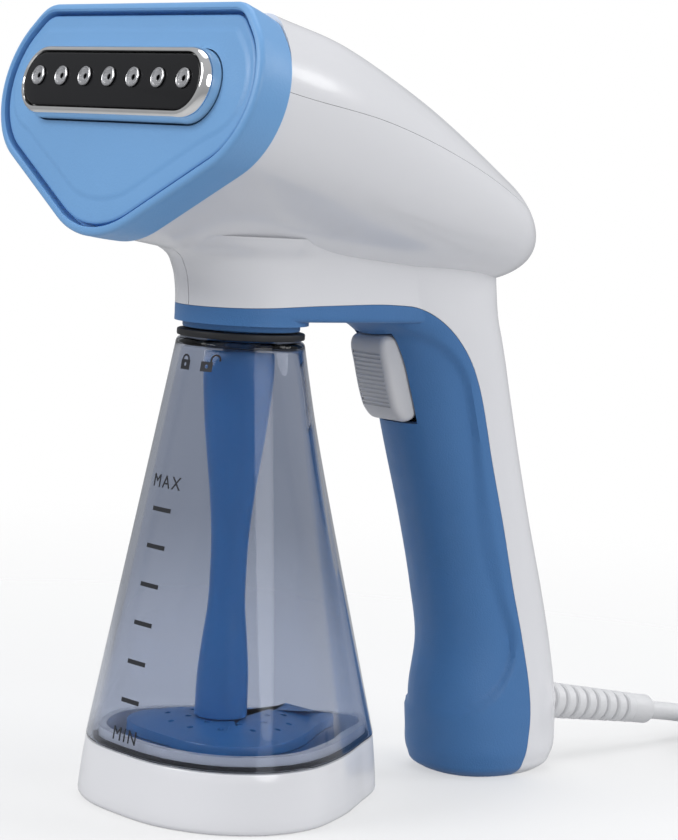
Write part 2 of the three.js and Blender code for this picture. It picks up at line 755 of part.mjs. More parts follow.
// A sector of a disc about Z, from one angle to another in degrees.
function sector(radius, from, to, z0, z1) {
  const shape = new THREE.Shape();
  shape.moveTo(0, 0);
  shape.lineTo(radius * Math.cos(rad(from)), radius * Math.sin(rad(from)));
  shape.absarc(0, 0, radius, rad(from), rad(to), false);
  const depth = z1 - z0;
  const geometry = new THREE.ExtrudeGeometry(shape, { depth, bevelEnabled: false, curveSegments: 6 });
  return solid(geometry.translate(0, 0, z0));
}

const ledgeRing = ringZ(SOCKET_BORE + 0.2, SPIGOT_RADIUS + GAP, ...ledgeZ, 40);
const slotHalf = LUG_HALF_ANGLE + 2;
const lugSlots = [0, 180].map((turn) =>
  sector(
    SOCKET_BORE,
    turn - UNLOCK_TURN - slotHalf,
    turn - UNLOCK_TURN + slotHalf,
    ledgeZ[0] - 1,
    ledgeZ[1] + 1,
  ),
);
const collar = turned(collarProfile, 40).add(cut(ledgeRing, ...lugSlots));
add(steamer, "tank_collar", collar, "grip_blue");

const nippleFoot = SPIGOT_TOP - NIPPLE_REACH;
const nippleEnd = COLLAR_TOP + 10;
const nippleProfile = [
  [NIPPLE_BORE, nippleFoot],
  [NIPPLE_TUBE, nippleFoot],
  [NIPPLE_TUBE, COLLAR_TOP + GAP],
  [COLLAR_RADIUS - 2, COLLAR_TOP + GAP],
  [COLLAR_RADIUS - 2, COLLAR_TOP + GAP + 2],
  [NIPPLE_TUBE + 0.6, COLLAR_TOP + GAP + 2],
  [NIPPLE_TUBE + 0.6, nippleEnd],
  [NIPPLE_BORE, nippleEnd],
  [NIPPLE_BORE, nippleFoot],
];
add(steamer, "inlet_nipple", turned(nippleProfile, 20), "white_gloss");
const sealZ = SPIGOT_TOP + 0.4;
const inletSeal = ringZ(STEM_SOCKET, NIPPLE_TUBE + GAP, sealZ, sealZ + 2, 24);
add(steamer, "inlet_seal", inletSeal, "black_rubber");

// ---- tank
const circleRing = (radius) => baseRing.map((p) => p.clone().normalize().multiplyScalar(radius));

// The tank's wall runs straight from the base's outline to a circle at the shoulder.
function tankCone(distance, from, to) {
  const low = inset(baseRing, BASE_DRAFT + distance);
  const high = circleRing(TANK_TOP_RADIUS - distance);
  const share = (z) => (z - TANK_RIM) / (TANK_SHOULDER - TANK_RIM);
  const at = (z) =>
    low.map((p, i) => {
      const point = p.clone().lerp(high[i], share(z));
      return new THREE.Vector3(point.x, point.y, z);
    });
  const steps = 4;
  return loft(Array.from({ length: steps + 1 }, (_, i) => at(lerp(from, to, i / steps))));
}

const lugs = [0, 180].map((turn) =>
  sector(
    SPIGOT_RADIUS + LUG_REACH,
    turn - LUG_HALF_ANGLE,
    turn + LUG_HALF_ANGLE,
    ledgeZ[1] + GAP,
    ledgeZ[1] + GAP + LUG_HEIGHT,
  ),
);
const spigotBore = SPIGOT_RADIUS - TANK_WALL;
const tankShell = cut(
  joined(
    tankCone(0, TANK_RIM, TANK_SHOULDER),
    rodZ(SPIGOT_RADIUS, TANK_SHOULDER - 1, SPIGOT_TOP, 40),
    ...lugs,
  ),
  tankCone(TANK_WALL, TANK_RIM - 1, TANK_SHOULDER - TANK_WALL),
  rodZ(spigotBore, TANK_SHOULDER - TANK_WALL - 2, SPIGOT_TOP + 2, 40),
);
add(steamer, "tank_shell", tankShell, "tank_smoke");

const sealBottom = TANK_SHOULDER + GAP;
const neckSeal = ringZ(TANK_TOP_RADIUS + 0.1, SPIGOT_RADIUS + GAP, sealBottom, sealBottom + SEAL_THICK);
add(steamer, "neck_seal", neckSeal, "black_rubber");

// ---- base, gasket, filter and stem
const rimZ = TANK_RIM - GAP;
const spigotInset = BASE_DRAFT + TANK_WALL + 1.8;
const base = joined(
  stacked(baseRing, [[0, 1], [1, 0], [rimZ, BASE_DRAFT]]),
  stacked(baseRing, [[rimZ - 1, spigotInset], [rimZ + SPIGOT_RISE, spigotInset]]),
);
const pan = stacked(baseRing, [
  [BASE_FLOOR, spigotInset + BASE_WALL],
  [rimZ + SPIGOT_RISE + 2, spigotInset + BASE_WALL],
]);
add(steamer, "tank_base", cut(base, pan), "white_gloss");
const gasketOuter = stacked(baseRing, [
  [rimZ + GAP, spigotInset - 1.2],
  [rimZ + GAP + 1.2, spigotInset - 1.2],
]);
const gasketInner = stacked(baseRing, [
  [rimZ - 2, spigotInset - GAP],
  [rimZ + 5, spigotInset - GAP],
]);
add(steamer, "base_gasket", cut(gasketOuter, gasketInner), "black_rubber");

const filterFoot = BASE_FLOOR + GAP;
const filterSplit = FILTER_TOP - 3;
const filterBox = cut(
  stacked(baseRing, [[filterFoot, FILTER_INSET], [filterSplit, FILTER_INSET]]),
  stacked(baseRing, [
    [filterFoot + FILTER_WALL, FILTER_INSET + FILTER_WALL],
    [FILTER_TOP + 5, FILTER_INSET + FILTER_WALL],
  ]),
);
add(steamer, "filter_housing", filterBox, "stem_blue");

const strainers = STRAINER_RINGS.flatMap(([radius, count]) =>
  Array.from({ length: count }, (_, i) => {
    const angle = (2 * Math.PI * (i + 0.5)) / count;
    const hole = rodShape(STRAINER_RADIUS, 0, FILTER_TOP + 10, 6);
    return solid(hole.translate(radius * Math.cos(angle), STRAINER_Y + radius * Math.sin(angle), 0));
  }),
);
const coverSeat = [
  [filterSplit + GAP, FILTER_INSET],
  [FILTER_TOP, FILTER_INSET],
  [FILTER_TOP + 0.5 * FILTER_DOME, FILTER_INSET + 6],
  [FILTER_TOP + FILTER_DOME, FILTER_INSET + 14],
];
const stemHole = rodZ(STEM_SPIGOT + GAP, 0, FILTER_TOP + 10, 32);
add(steamer, "filter_cover", cut(stacked(baseRing, coverSeat), stemHole, ...strainers), "stem_blue");

const spongeTop = filterSplit - 2;
const spongeInset = FILTER_INSET + FILTER_WALL + GAP;
const sponge = cut(
  stacked(baseRing, [[filterFoot + FILTER_WALL + GAP, spongeInset], [spongeTop, spongeInset]]),
  rodZ(STEM_SPIGOT + GAP, spongeTop - 6, spongeTop + 5),
);
add(steamer, "filter_sponge", sponge, "sponge");

const stemFoot = FILTER_TOP + FILTER_DOME + GAP;
const stemShoulder = TANK_SHOULDER - TANK_WALL - 0.6;
const stemProfile = [
  [STEM_BORE, spongeTop - 5],
  [STEM_SPIGOT, spongeTop - 5],
  [STEM_SPIGOT, stemFoot],
  [STEM_FOOT, stemFoot],
  [STEM_FOOT - 0.2, 38],
  [0.5 * (STEM_FOOT + STEM_WAIST), 49],
  [STEM_WAIST + 0.2, 58],
  [STEM_WAIST, 68],
  [STEM_WAIST + 0.2, 78],
  [STEM_WAIST + 1.2, 90],
  [STEM_TOP_RADIUS - 2.2, 102],
  [STEM_TOP_RADIUS - 1, 112],
  [STEM_TOP_RADIUS, stemShoulder - 4],
  [STEM_TOP_RADIUS - 0.8, stemShoulder],
  [STEM_SOCKET, stemShoulder],
  [STEM_SOCKET, SPIGOT_TOP],
  [NIPPLE_TUBE + GAP, SPIGOT_TOP],
  [NIPPLE_TUBE + GAP, nippleFoot - 2],
  [STEM_BORE, nippleFoot - 2],
  [STEM_BORE, spongeTop - 5],
];
add(steamer, "suction_stem", turned(stemProfile, 24), "stem_blue");

// ---- trigger and switch
const [pivotY, pivotZ] = TRIGGER_PIVOT;
const triggerSide = [
  [49, 137],
  [47.6, 134.5],
  [49.4, 127.5],
  [52, 119.5],
  [54.4, 114.5],
  [58, 111.4],
  [62.5, 111.6],
  [TRIGGER_BACK, 114],
  [TRIGGER_BACK, 130],
  [64.5, 136],
  [60, 138],
];
const triggerBody = sideView(triggerSide, -TRIGGER_HALF_WIDTH, TRIGGER_HALF_WIDTH);
const ribReach = TRIGGER_HALF_WIDTH - 1.2;
const triggerRibs = Array.from({ length: RIBS }, (_, n) => {
  const down = n / (RIBS - 1);
  return rodX(RIB_RADIUS, -ribReach, ribReach, lerp(48, 52, down), lerp(133, 118.5, down), 8);
});
const pinBore = rodX(PIN_RADIUS + GAP, -20, 20, pivotY, pivotZ, 20);
add(steamer, "trigger", cut(joined(triggerBody, ...triggerRibs), pinBore), "trigger_grey");
const pinHalf = 0.62 * HANDLE_HALF_WIDTH;
add(steamer, "trigger_pin", rodX(PIN_RADIUS, -pinHalf, pinHalf, pivotY, pivotZ, 20), "steel");

const plungerBack = SWITCH_FRONT + 4;
const switchZ = (SWITCH_BOTTOM + SWITCH_TOP) / 2;
const switchBody = box(
  -SWITCH_HALF_WIDTH,
  SWITCH_HALF_WIDTH,
  SWITCH_FRONT,
  SWITCH_BACK,
  SWITCH_BOTTOM,
  SWITCH_TOP,
);
const switchBore = rodY(PLUNGER_RADIUS + GAP, SWITCH_FRONT - 5, plungerBack + 3, 0, switchZ, 16);
add(steamer, "microswitch", cut(switchBody, switchBore), "black_plate");
const switchPlunger = rodY(PLUNGER_RADIUS, TRIGGER_BACK + GAP, plungerBack, 0, switchZ, 16);
add(steamer, "switch_plunger", switchPlunger, "trigger_grey");

const bracketY = SWITCH_BACK + GAP;
const bracketBack = bracketY + BRACKET_THICK;
const armInside = BRACKET_HALF_WIDTH - BRACKET_ARM;
const bracket = joined(
  box(-BRACKET_HALF_WIDTH, BRACKET_HALF_WIDTH, bracketY, bracketBack, 108, 134),
  box(-BRACKET_HALF_WIDTH, -armInside, bracketY - 8, bracketBack, 118, SWITCH_TOP),
  box(armInside, BRACKET_HALF_WIDTH, bracketY - 8, bracketBack, 118, SWITCH_TOP),
);
add(steamer, "switch_bracket", bracket, "white_gloss");

const springSteps = 8 * SPRING_TURNS;
const springPoints = Array.from({ length: springSteps + 1 }, (_, i) => {
  const angle = (2 * Math.PI * i) / 8;
  const y = lerp(TRIGGER_BACK + 1, bracketY - 1, i / springSteps);
  return [SPRING_RADIUS * Math.cos(angle), y, SPRING_Z + SPRING_RADIUS * Math.sin(angle)];
});
add(steamer, "trigger_spring", tube(springPoints, SPRING_WIRE, 9 * SPRING_TURNS, 5), "steel");

// ---- pump and hoses
const pumpBack = PUMP_Y + PUMP_LENGTH;
const portFront = PUMP_Y - PUMP_PORT_LENGTH;
const portBack = pumpBack + PUMP_PORT_LENGTH;
const pumpBody = cut(
  joined(
    rodY(PUMP_RADIUS, PUMP_Y, pumpBack, 0, PUMP_Z, 28),
    rodY(PUMP_PORT, portFront, PUMP_Y + 1, 0, PUMP_Z, 20),
    rodY(PUMP_PORT, pumpBack - 1, portBack, 0, PUMP_Z, 20),
  ),
  rodY(PUMP_BORE, PUMP_Y + PUMP_END, pumpBack - PUMP_END, 0, PUMP_Z, 24),
  rodY(0.4 * PUMP_PORT, portFront - 4, portBack + 4, 0, PUMP_Z, 12),
);
add(steamer, "pump_body", pumpBody, "black_plate");
const plungerFront = PUMP_Y + PUMP_END + GAP;
const plungerEnd = pumpBack - PUMP_END - GAP - PLUNGER_STROKE;
add(steamer, "pump_plunger", rodY(PUMP_BORE - GAP, plungerFront, plungerEnd, 0, PUMP_Z, 20), "steel");

const nippleTop = nippleEnd + GAP;
const suctionPath = [
  [0, 0, nippleTop],
  [0, 0, nippleTop + 4],
  [0, 10, nippleTop + 9.5],
  [0, 34, nippleTop + 7],
  [0, 62, nippleTop + 6],
  [0, 76, nippleTop + 13],
  [0, portBack + 6, PUMP_Z],
  [0, portBack + GAP, PUMP_Z],
];
add(steamer, "suction_hose", tube(suctionPath, HOSE_RADIUS, 24, 8), "hose_silicone");
const feedFrom = [coverBack + GAP, coverBack + 8].map((depth) => {
  const port = new THREE.Vector3(0, depth, PLATE_SHIFT).applyEuler(head.rotation).add(head.position);
  return port.toArray();
});
const feedPath = [
  ...feedFrom,
  [0, 6, PUMP_Z + 8],
  [0, portFront - 6, PUMP_Z],
  [0, portFront - GAP, PUMP_Z],
];
add(steamer, "feed_hose", tube(feedPath, HOSE_RADIUS, 10, 8), "hose_silicone");

// ---- electrics in the handle
const boardY = 98;
const board = joined(
  box(-12, 12, boardY, boardY + 1.6, 62, 98),
  box(-7, 7, boardY - 8, boardY + 0.2, 70, 82),
  box(-4, 4, boardY - 6, boardY + 0.2, 86, 92),
);
add(steamer, "control_board", board, "board_green");
const clampY = 104;
const clamp = cut(
  joined(
    box(-9, 9, clampY - 4, clampY + 4, 12, 27),
    box(-13.5, 13.5, clampY - 3, clampY + 3, 14, 18),
  ),
  rodY(CORD_RADIUS + GAP, clampY - 14, clampY + 16, 0, CLAMP_Z, 20),
);
add(steamer, "cord_clamp", clamp, "white_gloss");

// ---- strain relief, cord, coil and plug
const reliefProfile = [
  [0, -3.4],
  [RELIEF_RADIUS + RELIEF_FLANGE, -3.4],
  [RELIEF_RADIUS + RELIEF_FLANGE, -1.4],
  [RELIEF_RADIUS, -1.4],
  [RELIEF_RADIUS, RELIEF_FIRST],
];
const reliefEnd = RELIEF_RADIUS - 1;
for (let n = 0; n < RELIEF_RIBS; n += 1) {
  const start = RELIEF_FIRST + n * RELIEF_PITCH;
  const radius = lerp(RELIEF_RADIUS, reliefEnd, n / RELIEF_RIBS);
  reliefProfile.push([radius - RELIEF_GROOVE, start]);
  reliefProfile.push([radius - RELIEF_GROOVE, start + 1.2]);
  reliefProfile.push([radius, start + 1.2]);
  reliefProfile.push([radius, start + RELIEF_PITCH]);
}
reliefProfile.push([reliefEnd, RELIEF_LENGTH - 1]);
reliefProfile.push([reliefEnd - 0.8, RELIEF_LENGTH]);
reliefProfile.push([0, RELIEF_LENGTH]);
add(steamer, "strain_relief", solid(reliefFrame(turnedShape(reliefProfile, 12))), "cord_white");

add(steamer, "power_cord", tube(CORD_POINTS, CORD_RADIUS, 6, 10), "cord_white");
const coilInner = COIL_TURN_RADII[0] - CORD_RADIUS;
const coilOuter = COIL_TURN_RADII[1] + CORD_RADIUS;
const coilShape = turnedShape(
  [
    [coilInner, 0],
    [coilOuter, 0],
    [coilOuter, 2 * CORD_RADIUS * COIL_LAYERS],
    [coilInner, 2 * CORD_RADIUS * COIL_LAYERS],
    [coilInner, 0],
  ],
  40,
);
add(steamer, "cord_coil", solid(coilShape.translate(COIL_X, COIL_Y, 0)), "cord_white");
add(steamer, "cord_tail", tube(TAIL_POINTS, CORD_RADIUS, 3, 10), "cord_white");

const [tailX, plugY, plugZ] = TAIL_POINTS.at(-1);
const plugX = tailX + GAP;
const plugOutline = [
  [-PLUG_HALF_WIDTH, -PLUG_HALF_THICK, PLUG_CORNER],
  [PLUG_HALF_WIDTH, -PLUG_HALF_THICK, PLUG_CORNER],
  [PLUG_HALF_WIDTH, PLUG_HALF_THICK, PLUG_CORNER],
  [-PLUG_HALF_WIDTH, PLUG_HALF_THICK, PLUG_CORNER],
];
const plugRing = ringOf(roundedOutline(plugOutline), 24);
const plugLevels = [[0, 4.4], [6, 3], [16, 0.6], [PLUG_LENGTH - 2, 0], [PLUG_LENGTH, 1]];
const plug = loft(
  plugLevels.map(([x, distance]) =>
    inset(plugRing, distance).map(
      (p) => new THREE.Vector3(plugX + x, plugY + p.x, p.y + PLUG_HALF_THICK),
    ),
  ),
);
add(steamer, "plug_body", plug, "cord_white");
const bladeX = plugX + PLUG_LENGTH + GAP;
[-1, 1].forEach((side, n) => {
  const bladeY = plugY + (side * BLADE_APART) / 2;
  const blade = box(
    bladeX,
    bladeX + BLADE_LENGTH,
    bladeY - BLADE_THICK / 2,
    bladeY + BLADE_THICK / 2,
    plugZ - BLADE_WIDE / 2,
    plugZ + BLADE_WIDE / 2,
  );
  add(steamer, `plug_blade_${n + 1}`, blade, "steel");
});

export default steamer;
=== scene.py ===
"""A handheld garment steamer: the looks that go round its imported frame.

Shapes are worked out in millimetres and scaled to metres when a piece is finished. The origin is on
the axis of the tank's neck at the foot of its base, +Z is up and -Y is the steam face.
"""

import math

import bmesh
import bpy
import numpy as np
from bpy.props import FloatProperty, FloatVectorProperty, IntProperty, PointerProperty
from mathutils import Matrix, Vector


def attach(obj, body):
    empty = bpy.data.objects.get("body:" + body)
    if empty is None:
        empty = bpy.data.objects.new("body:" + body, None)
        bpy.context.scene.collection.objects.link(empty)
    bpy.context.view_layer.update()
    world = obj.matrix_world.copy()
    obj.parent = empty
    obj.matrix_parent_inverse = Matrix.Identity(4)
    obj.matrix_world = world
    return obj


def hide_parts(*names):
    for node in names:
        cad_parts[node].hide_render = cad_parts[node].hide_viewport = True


bl_info = {
    "name": "Garment steamer",
    "version": (1, 0, 0),
    "blender": (4, 5, 0),
    "location": "View3D > Sidebar > Steamer",
    "description": "Builds a handheld garment steamer piece by piece round its frame",
    "category": "Object",
}

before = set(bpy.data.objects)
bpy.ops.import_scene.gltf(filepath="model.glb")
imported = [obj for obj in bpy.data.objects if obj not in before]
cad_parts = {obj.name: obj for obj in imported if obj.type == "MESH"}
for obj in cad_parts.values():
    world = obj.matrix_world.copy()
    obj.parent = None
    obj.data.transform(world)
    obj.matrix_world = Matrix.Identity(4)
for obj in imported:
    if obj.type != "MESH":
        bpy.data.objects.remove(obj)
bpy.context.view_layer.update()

MM = 0.001
GAP = 0.3
HAIRLINE = 0.06
WALL = 2.4
REACH = 400.0
AROUND = 180
TURN = 2 * math.pi

# the steam head, in its own frame: x across, y depth behind the face, z up from the line of holes
FACE_Y, FACE_Z, FACE_TILT = -46.0, 206.5, 13.5
FACE_HALF_WIDTH, FACE_TOP, FACE_DROP = 59.75, 23.0, 43.5
BEZEL_DEPTH, BEZEL_LIP, BEZEL_SEAT = 12.0, 2.4, 7.0
FACE_GROOVE, FACE_THICK = 1.2, 4.2
FACE_MARGIN_DEPTH, FACE_STEP = 1.1, 0.5
# the step's distance from the outline at the sides, and how much more it is at the top and at the tip
STEP_SIDE, STEP_TOP, STEP_TIP = 5.6, 1.8, 4.8
PLATE_HALF_LENGTH, PLATE_HALF_HEIGHT, PLATE_SHIFT = 42.0, 8.9, -0.8
PLATE_PROUD, PLATE_DRAFT, PLATE_RIM, PLATE_ROUNDING, PLATE_FULLNESS = 5.0, 1.5, 0.9, 2.15, 0.87
NOZZLE_FLANGE, NOZZLE_TUBE, NOZZLE_BORE, NOZZLE_MOUTH = 2.8, 1.9, 1.2, 0.8
HOLE_PITCH = 11.35
HEAD = Matrix.Translation((0, FACE_Y, FACE_Z)) @ Matrix.Rotation(-math.radians(FACE_TILT), 4, "X")

# the body
TAIL_Y, TAIL_ROUND = 105.0, 22.0
# (depth, top, bottom, half width) of the barrel
BARREL = [
    (-34, 226.4, 163.8, 57.55), (0, 224.4, 158.5, 51.5), (40, 212.5, 156, 42), (83, 190, 153.8, 30),
    (105, 177, 153, 22),
]
NECK_RADIUS, NECK_BOTTOM, NECK_TOP = 19.4, 140.6, 166.0
BRIDGE_BOTTOM, BRIDGE_BACK = 142.0, 56.0
# (height, flare) of the neck
NECK = [(142, 1), (150, 1.02), (156, 1.1), (160, 1.24), (163, 1.55), (166, 1.8)]
HANDLE_HALF_WIDTH, HANDLE_SQUARE = 18.8, 2.4
# (height, front, back, share of the half width) of the handle
HANDLE = [
    (0, 87, 123, 0.8), (1.6, 83.8, 126.6, 0.92), (5, 81.6, 129, 1), (14, 80, 130, 1.03), (25, 79, 129, 1.02),
    (42, 80.6, 125, 0.98), (58, 77.3, 120, 0.98), (80, 71, 112.6, 0.98), (102, 63.4, 106, 0.98),
    (121, 57, 100.6, 0.99), (132, 52.4, 97.6, 1), (138, 48, 96, 1), (142.4, 41, 95, 1), (150, 34, 94, 1),
    (166, 34, 92, 1),
]
SEAM = [(-90, 217), (-34, 205.5), (10, 199.5), (45, 191.5), (75, 182), (95, 173), (140, 150)]
GRIP_EDGE = [
    (-60, 145.4), (-20, 145.4), (17, 146.9), (42, 147.3), (54, 146), (65, 140.2), (73, 132), (78.5, 122),
    (86, 98.5), (92.4, 78.7), (98, 59.8), (103, 44.8), (107, 29), (108.2, 18), (107, 6), (104, -6),
]
# the line where the grip's outer band falls into its finger scoop
SCOOP_EDGE = [
    (20, 141.2), (29.2, 141.1), (42, 141.2), (54.4, 138.8), (63.1, 135.3), (70.6, 129.3), (74.4, 123.2),
    (76.6, 116.8), (79.4, 107.3), (83.2, 93.1), (89.3, 73), (96, 55), (100.5, 43.5), (99.8, 35.5), (96, 29),
    (89.6, 23.4), (80.8, 19.7), (66, 18),
]

# tank, base and what is in them
COLLAR_RADIUS, COLLAR_BOTTOM, COLLAR_TOP, SOCKET_BORE = 17.0, 138.7, 150.0, 14.2
SPIGOT_RADIUS, SPIGOT_TOP, LUG_REACH, LUG_HALF_ANGLE, UNLOCK_TURN = 12.8, 147.0, 1.1, 11.0, 28.0
TANK_SHOULDER, TANK_TOP_RADIUS, TANK_WALL, TANK_RIM = 136.0, 18.4, 2.0, 17.6
BASE_HALF_WIDTH, BASE_FRONT, BASE_BACK, BASE_DRAFT = 42.0, 36.5, 56.5, 1.6
BASE_WALL, BASE_FLOOR, SPIGOT_RISE = 2.6, 3.0, 4.0
FILTER_TOP, FILTER_DOME, FILTER_INSET, FILTER_WALL, FILTER_SPLIT = 22.6, 2.6, 14.0, 1.6, 19.6
# (radius, count) of the rings of holes in the filter's lid
STRAINER_RINGS, STRAINER_HOLE = ((12, 8), (18, 12)), 1.0
STEM_BORE, STEM_SPIGOT, STEM_SOCKET, STEM_SOCKET_DEPTH = 2.4, 5.3, 2.8, 9.0
# heights of the level strokes, of the words with their letters' height, and of the lock signs
LEVELS = (87.1, 76.5, 65.5, 54.5, 43.4, 32.4)
WORDS = [("level_high", "MAX", 93.2, 3.7), ("level_low", "MIN", 20.8, 3.9)]
LOCK_HEIGHT, LOCK_SPACING = 129.0, 8.03
STROKE_HALF_LENGTH, STROKE_HALF_HEIGHT = 4.1, 0.62
# how far the ink's back and front stand off the tank
INK_BACK, INK_FRONT = 0.02, 0.14
# (height, inset) of the foam in the filter
SPONGE = [(5.3, 0.9), (5.7, 0.3), (6.4, 0), (11.5, 0.15), (16.4, 0), (17.2, 0.3), (17.6, 0.9)]

# trigger
TRIGGER_HALF_WIDTH, TRIGGER_PIVOT, TRIGGER_PIN, TRIGGER_SWING = 8.0, (60.5, 133.0), 1.5, 8.0
TRIGGER_EDGE, RIB_RADIUS, RIB_HALF_LENGTH, RIB_MARGIN = 2.2, 0.5, 6.2, 0.8
# the trigger's side view (y, z), and the part of it that is ribbed
TRIGGER = [
    (49, 137), (47.6, 134.5), (49.4, 127.5), (52, 119.5), (54.4, 114.5), (58, 111.5), (61.8, 111.9),
    (64.6, 115.2), (65.6, 121), (66, 130), (64.5, 136), (60, 138),
]
RIBBED = [(48.05, 132.6), (49.4, 127.5), (52, 119.5), (54.1, 115.3)]

# the screws' places (y, z) in the left half, what they turn in, and how deep they are sunk
SCREWS = [(112, 66), (117.5, 40), (84, 164)]
SCREW_BOSS, SCREW_WELL, SCREW_SHANK, SCREW_SEAT, SCREW_END = 3.9, 3.1, 1.8, -10.5, 8.0

# cord
RELIEF_Y, RELIEF_Z, RELIEF_DROOP, RELIEF_LENGTH, RELIEF_RADIUS = 125.0, 20.0, 8.7, 57.0, 5.8
RELIEF_FLANGE, RELIEF_RIBS, RELIEF_PITCH, RELIEF_FIRST, RELIEF_GROOVE = 2.0, 8, 5.0, 8.0, 1.5
RELIEF_PLACE = Matrix.Translation((0, RELIEF_Y, RELIEF_Z)) @ Matrix.Rotation(
    -TURN / 4 - math.radians(RELIEF_DROOP), 4, "X"
)
COIL_CENTRE, COIL_INNER, COIL_PITCH = (46.38, 231.5), 28.2, 6.06
COIL_OUTER = COIL_INNER + 3 * COIL_PITCH
TIE_HALF_WIDTH, TIE_TOP, TIE_THICK = 5.0, 13.0, 0.6
PLUG_HALF_WIDTH, PLUG_HALF_HEIGHT, PLUG_GRIPS, PLUG_GRIP_PITCH = 10.0, 8.0, 4, 4.0
CORD_POINTS = [
    (0, 0.1819, 0.0111), (0, 0.192, 0.0096), (0, 0.203, 0.0076), (0, 0.214, 0.0049), (0, 0.217, 0.0041),
]
TAIL_POINTS = [
    (0.051, 0.2805, 0.0091), (0.062, 0.2818, 0.009), (0.07, 0.282, 0.0088), (0.076, 0.282, 0.0086),
]

# the camera: where it aims, in metres, and its angles in degrees
CAMERA_AIM, CAMERA_DISTANCE, CAMERA_LENS = (0, 0.03898, 0.11156), 0.8, 114.86
CAMERA_AZIMUTH, CAMERA_ELEVATION, CAMERA_ROLL = 49.5, 5.4, 3.3

# the stage, in metres and watts: the floor's opacity by distance, the sky's strength by height and the lamps
FLOOR_RADIUS, FLOOR_FADE = 0.75, (0.12, 0.7, 0.5, 0.0)
SKY_RISE = (-0.6, 0.9, 0.3, 0.5)
LIGHTS = [
    ("key_light", (-0.35, -1.5, 1.15), 0.9, 15),
    ("side_light", (1.75, 0.15, 0.75), 1.1, 9),
    ("back_light", (0.9, 1.5, 1.1), 0.9, 8),
    ("top_light", (-0.3, 0.3, 1.7), 1.0, 7),
]


class SteamerSizes(bpy.types.PropertyGroup):
    """Sizes that can be changed without changing the frame."""

    cord_length: FloatProperty(
        name="Cord length", description="Real length of the mains lead", default=1.8, unit="LENGTH"
    )
    cord_diameter: FloatProperty(
        name="Cord diameter", description="Thickness of the mains lead", default=0.006, unit="LENGTH"
    )
    scoop_depth: FloatProperty(
        name="Scoop depth", description="How far the finger scoop is let into the grip, in mm", default=1.5
    )
    steam_holes: IntProperty(name="Steam holes", description="Eyelets in the steam plate", default=7)
    trigger_ribs: IntProperty(name="Trigger ribs", description="Ribs across the trigger", default=13)


def colour(label, default):
    """A colour that the user may change."""
    told = f"Colour of the {label.lower()}"
    return FloatVectorProperty(name=label, description=told, default=default, subtype="COLOR", min=0, max=1)


class SteamerColours(bpy.types.PropertyGroup):
    """Colours of the finishes."""

    shell: colour("White shell", (0.86, 0.86, 0.885))
    face: colour("Steam face", (0.19, 0.42, 0.76))
    grip: colour("Soft grip", (0.055, 0.19, 0.45))
    stem: colour("Stem and filter", (0.05, 0.22, 0.52))
    tank: colour("Smoked tank", (0.74, 0.78, 0.87))
    trigger: colour("Trigger", (0.66, 0.66, 0.68))
    cord: colour("Cord and relief", (0.80, 0.80, 0.81))
    print_ink: colour("Printed marks", (0.012, 0.014, 0.02))
    floor: colour("Floor", (0.90, 0.90, 0.905))


# ---------------------------------------------------------------- outlines
def smooth_rows(rows, at):
    """The values of a table (position, value, ...) at any positions, on a smooth curve through its rows."""
    rows = np.array(rows, float)
    place, value = rows[:, 0], rows[:, 1:]
    slope = np.gradient(value, place, axis=0)
    at = np.clip(np.atleast_1d(np.array(at, float)), place[0], place[-1])
    i = np.clip(np.searchsorted(place, at, side="right") - 1, 0, len(place) - 2)
    step = (place[i + 1] - place[i])[:, None]
    s = (at - place[i])[:, None] / step
    return (
        (2 * s**3 - 3 * s**2 + 1) * value[i]
        + (s**3 - 2 * s**2 + s) * step * slope[i]
        + (3 * s**2 - 2 * s**3) * value[i + 1]
        + (s**3 - s**2) * step * slope[i + 1]
    )


def curve_through(points, per_span=12, closed=False):
    """A smooth curve through points, as many points on it."""
    points = np.array(points, float)
    if closed:
        points = np.vstack([points[-1:], points, points[:2]])
    else:
        points = np.vstack([2 * points[0] - points[1], points, 2 * points[-1] - points[-2]])
    out = []
    for a, b, c, d in zip(points, points[1:], points[2:], points[3:]):
        before, span, after = (math.sqrt(np.linalg.norm(q - p)) for p, q in ((a, b), (b, c), (c, d)))
        leave = span * ((b - a) / before - (c - a) / (before + span) + (c - b) / span)
        arrive = span * ((c - b) / span - (d - b) / (span + after) + (d - c) / after)
        for s in np.arange(per_span) / per_span:
            out.append(
                (2 * s**3 - 3 * s**2 + 1) * b
                + (s**3 - 2 * s**2 + s) * leave
                + (3 * s**2 - 2 * s**3) * c
                + (s**3 - s**2) * arrive
            )
    if not closed:
        out.append(points[-2])
    return np.array(out)


def evenly(path, count, first=0.0):
    """Evenly spaced points round a closed path, the first one a given length along it."""
    loop = np.vstack([path, path[:1]])
    along = np.concatenate([[0], np.cumsum(np.linalg.norm(np.diff(loop, axis=0), axis=1))])
    at = (first + along[-1] * np.arange(count) / count) % along[-1]
    return np.stack([np.interp(at, along, loop[:, k]) for k in range(loop.shape[1])], axis=1)


def rounded_corners(corners, per_arc=40):
    """A convex outline, anticlockwise, whose corners (x, y, radius) are rounded by arcs."""
    path = []
    befores, afters = corners[-1:] + corners[:-1], corners[1:] + corners[:1]
    for before, (x, y, radius), after in zip(befores, corners, afters):
        corner = Vector((x, y))
        back = (Vector(before[:2]) - corner).normalized()
        on = (Vector(after[:2]) - corner).normalized()
        half = back.angle(on) / 2
        centre = corner + (back + on).normalized() * radius / math.sin(half)
        start = corner + back * radius / math.tan(half) - centre
        end = corner + on * radius / math.tan(half) - centre
        from_angle = math.atan2(start.y, start.x)
        to_angle = math.atan2(end.y, end.x)
        if to_angle < from_angle:
            to_angle += TURN
        for angle in np.linspace(from_angle, to_angle, per_arc):
            path.append((centre.x + radius * math.cos(angle), centre.y + radius * math.sin(angle)))
    return np.array(path)


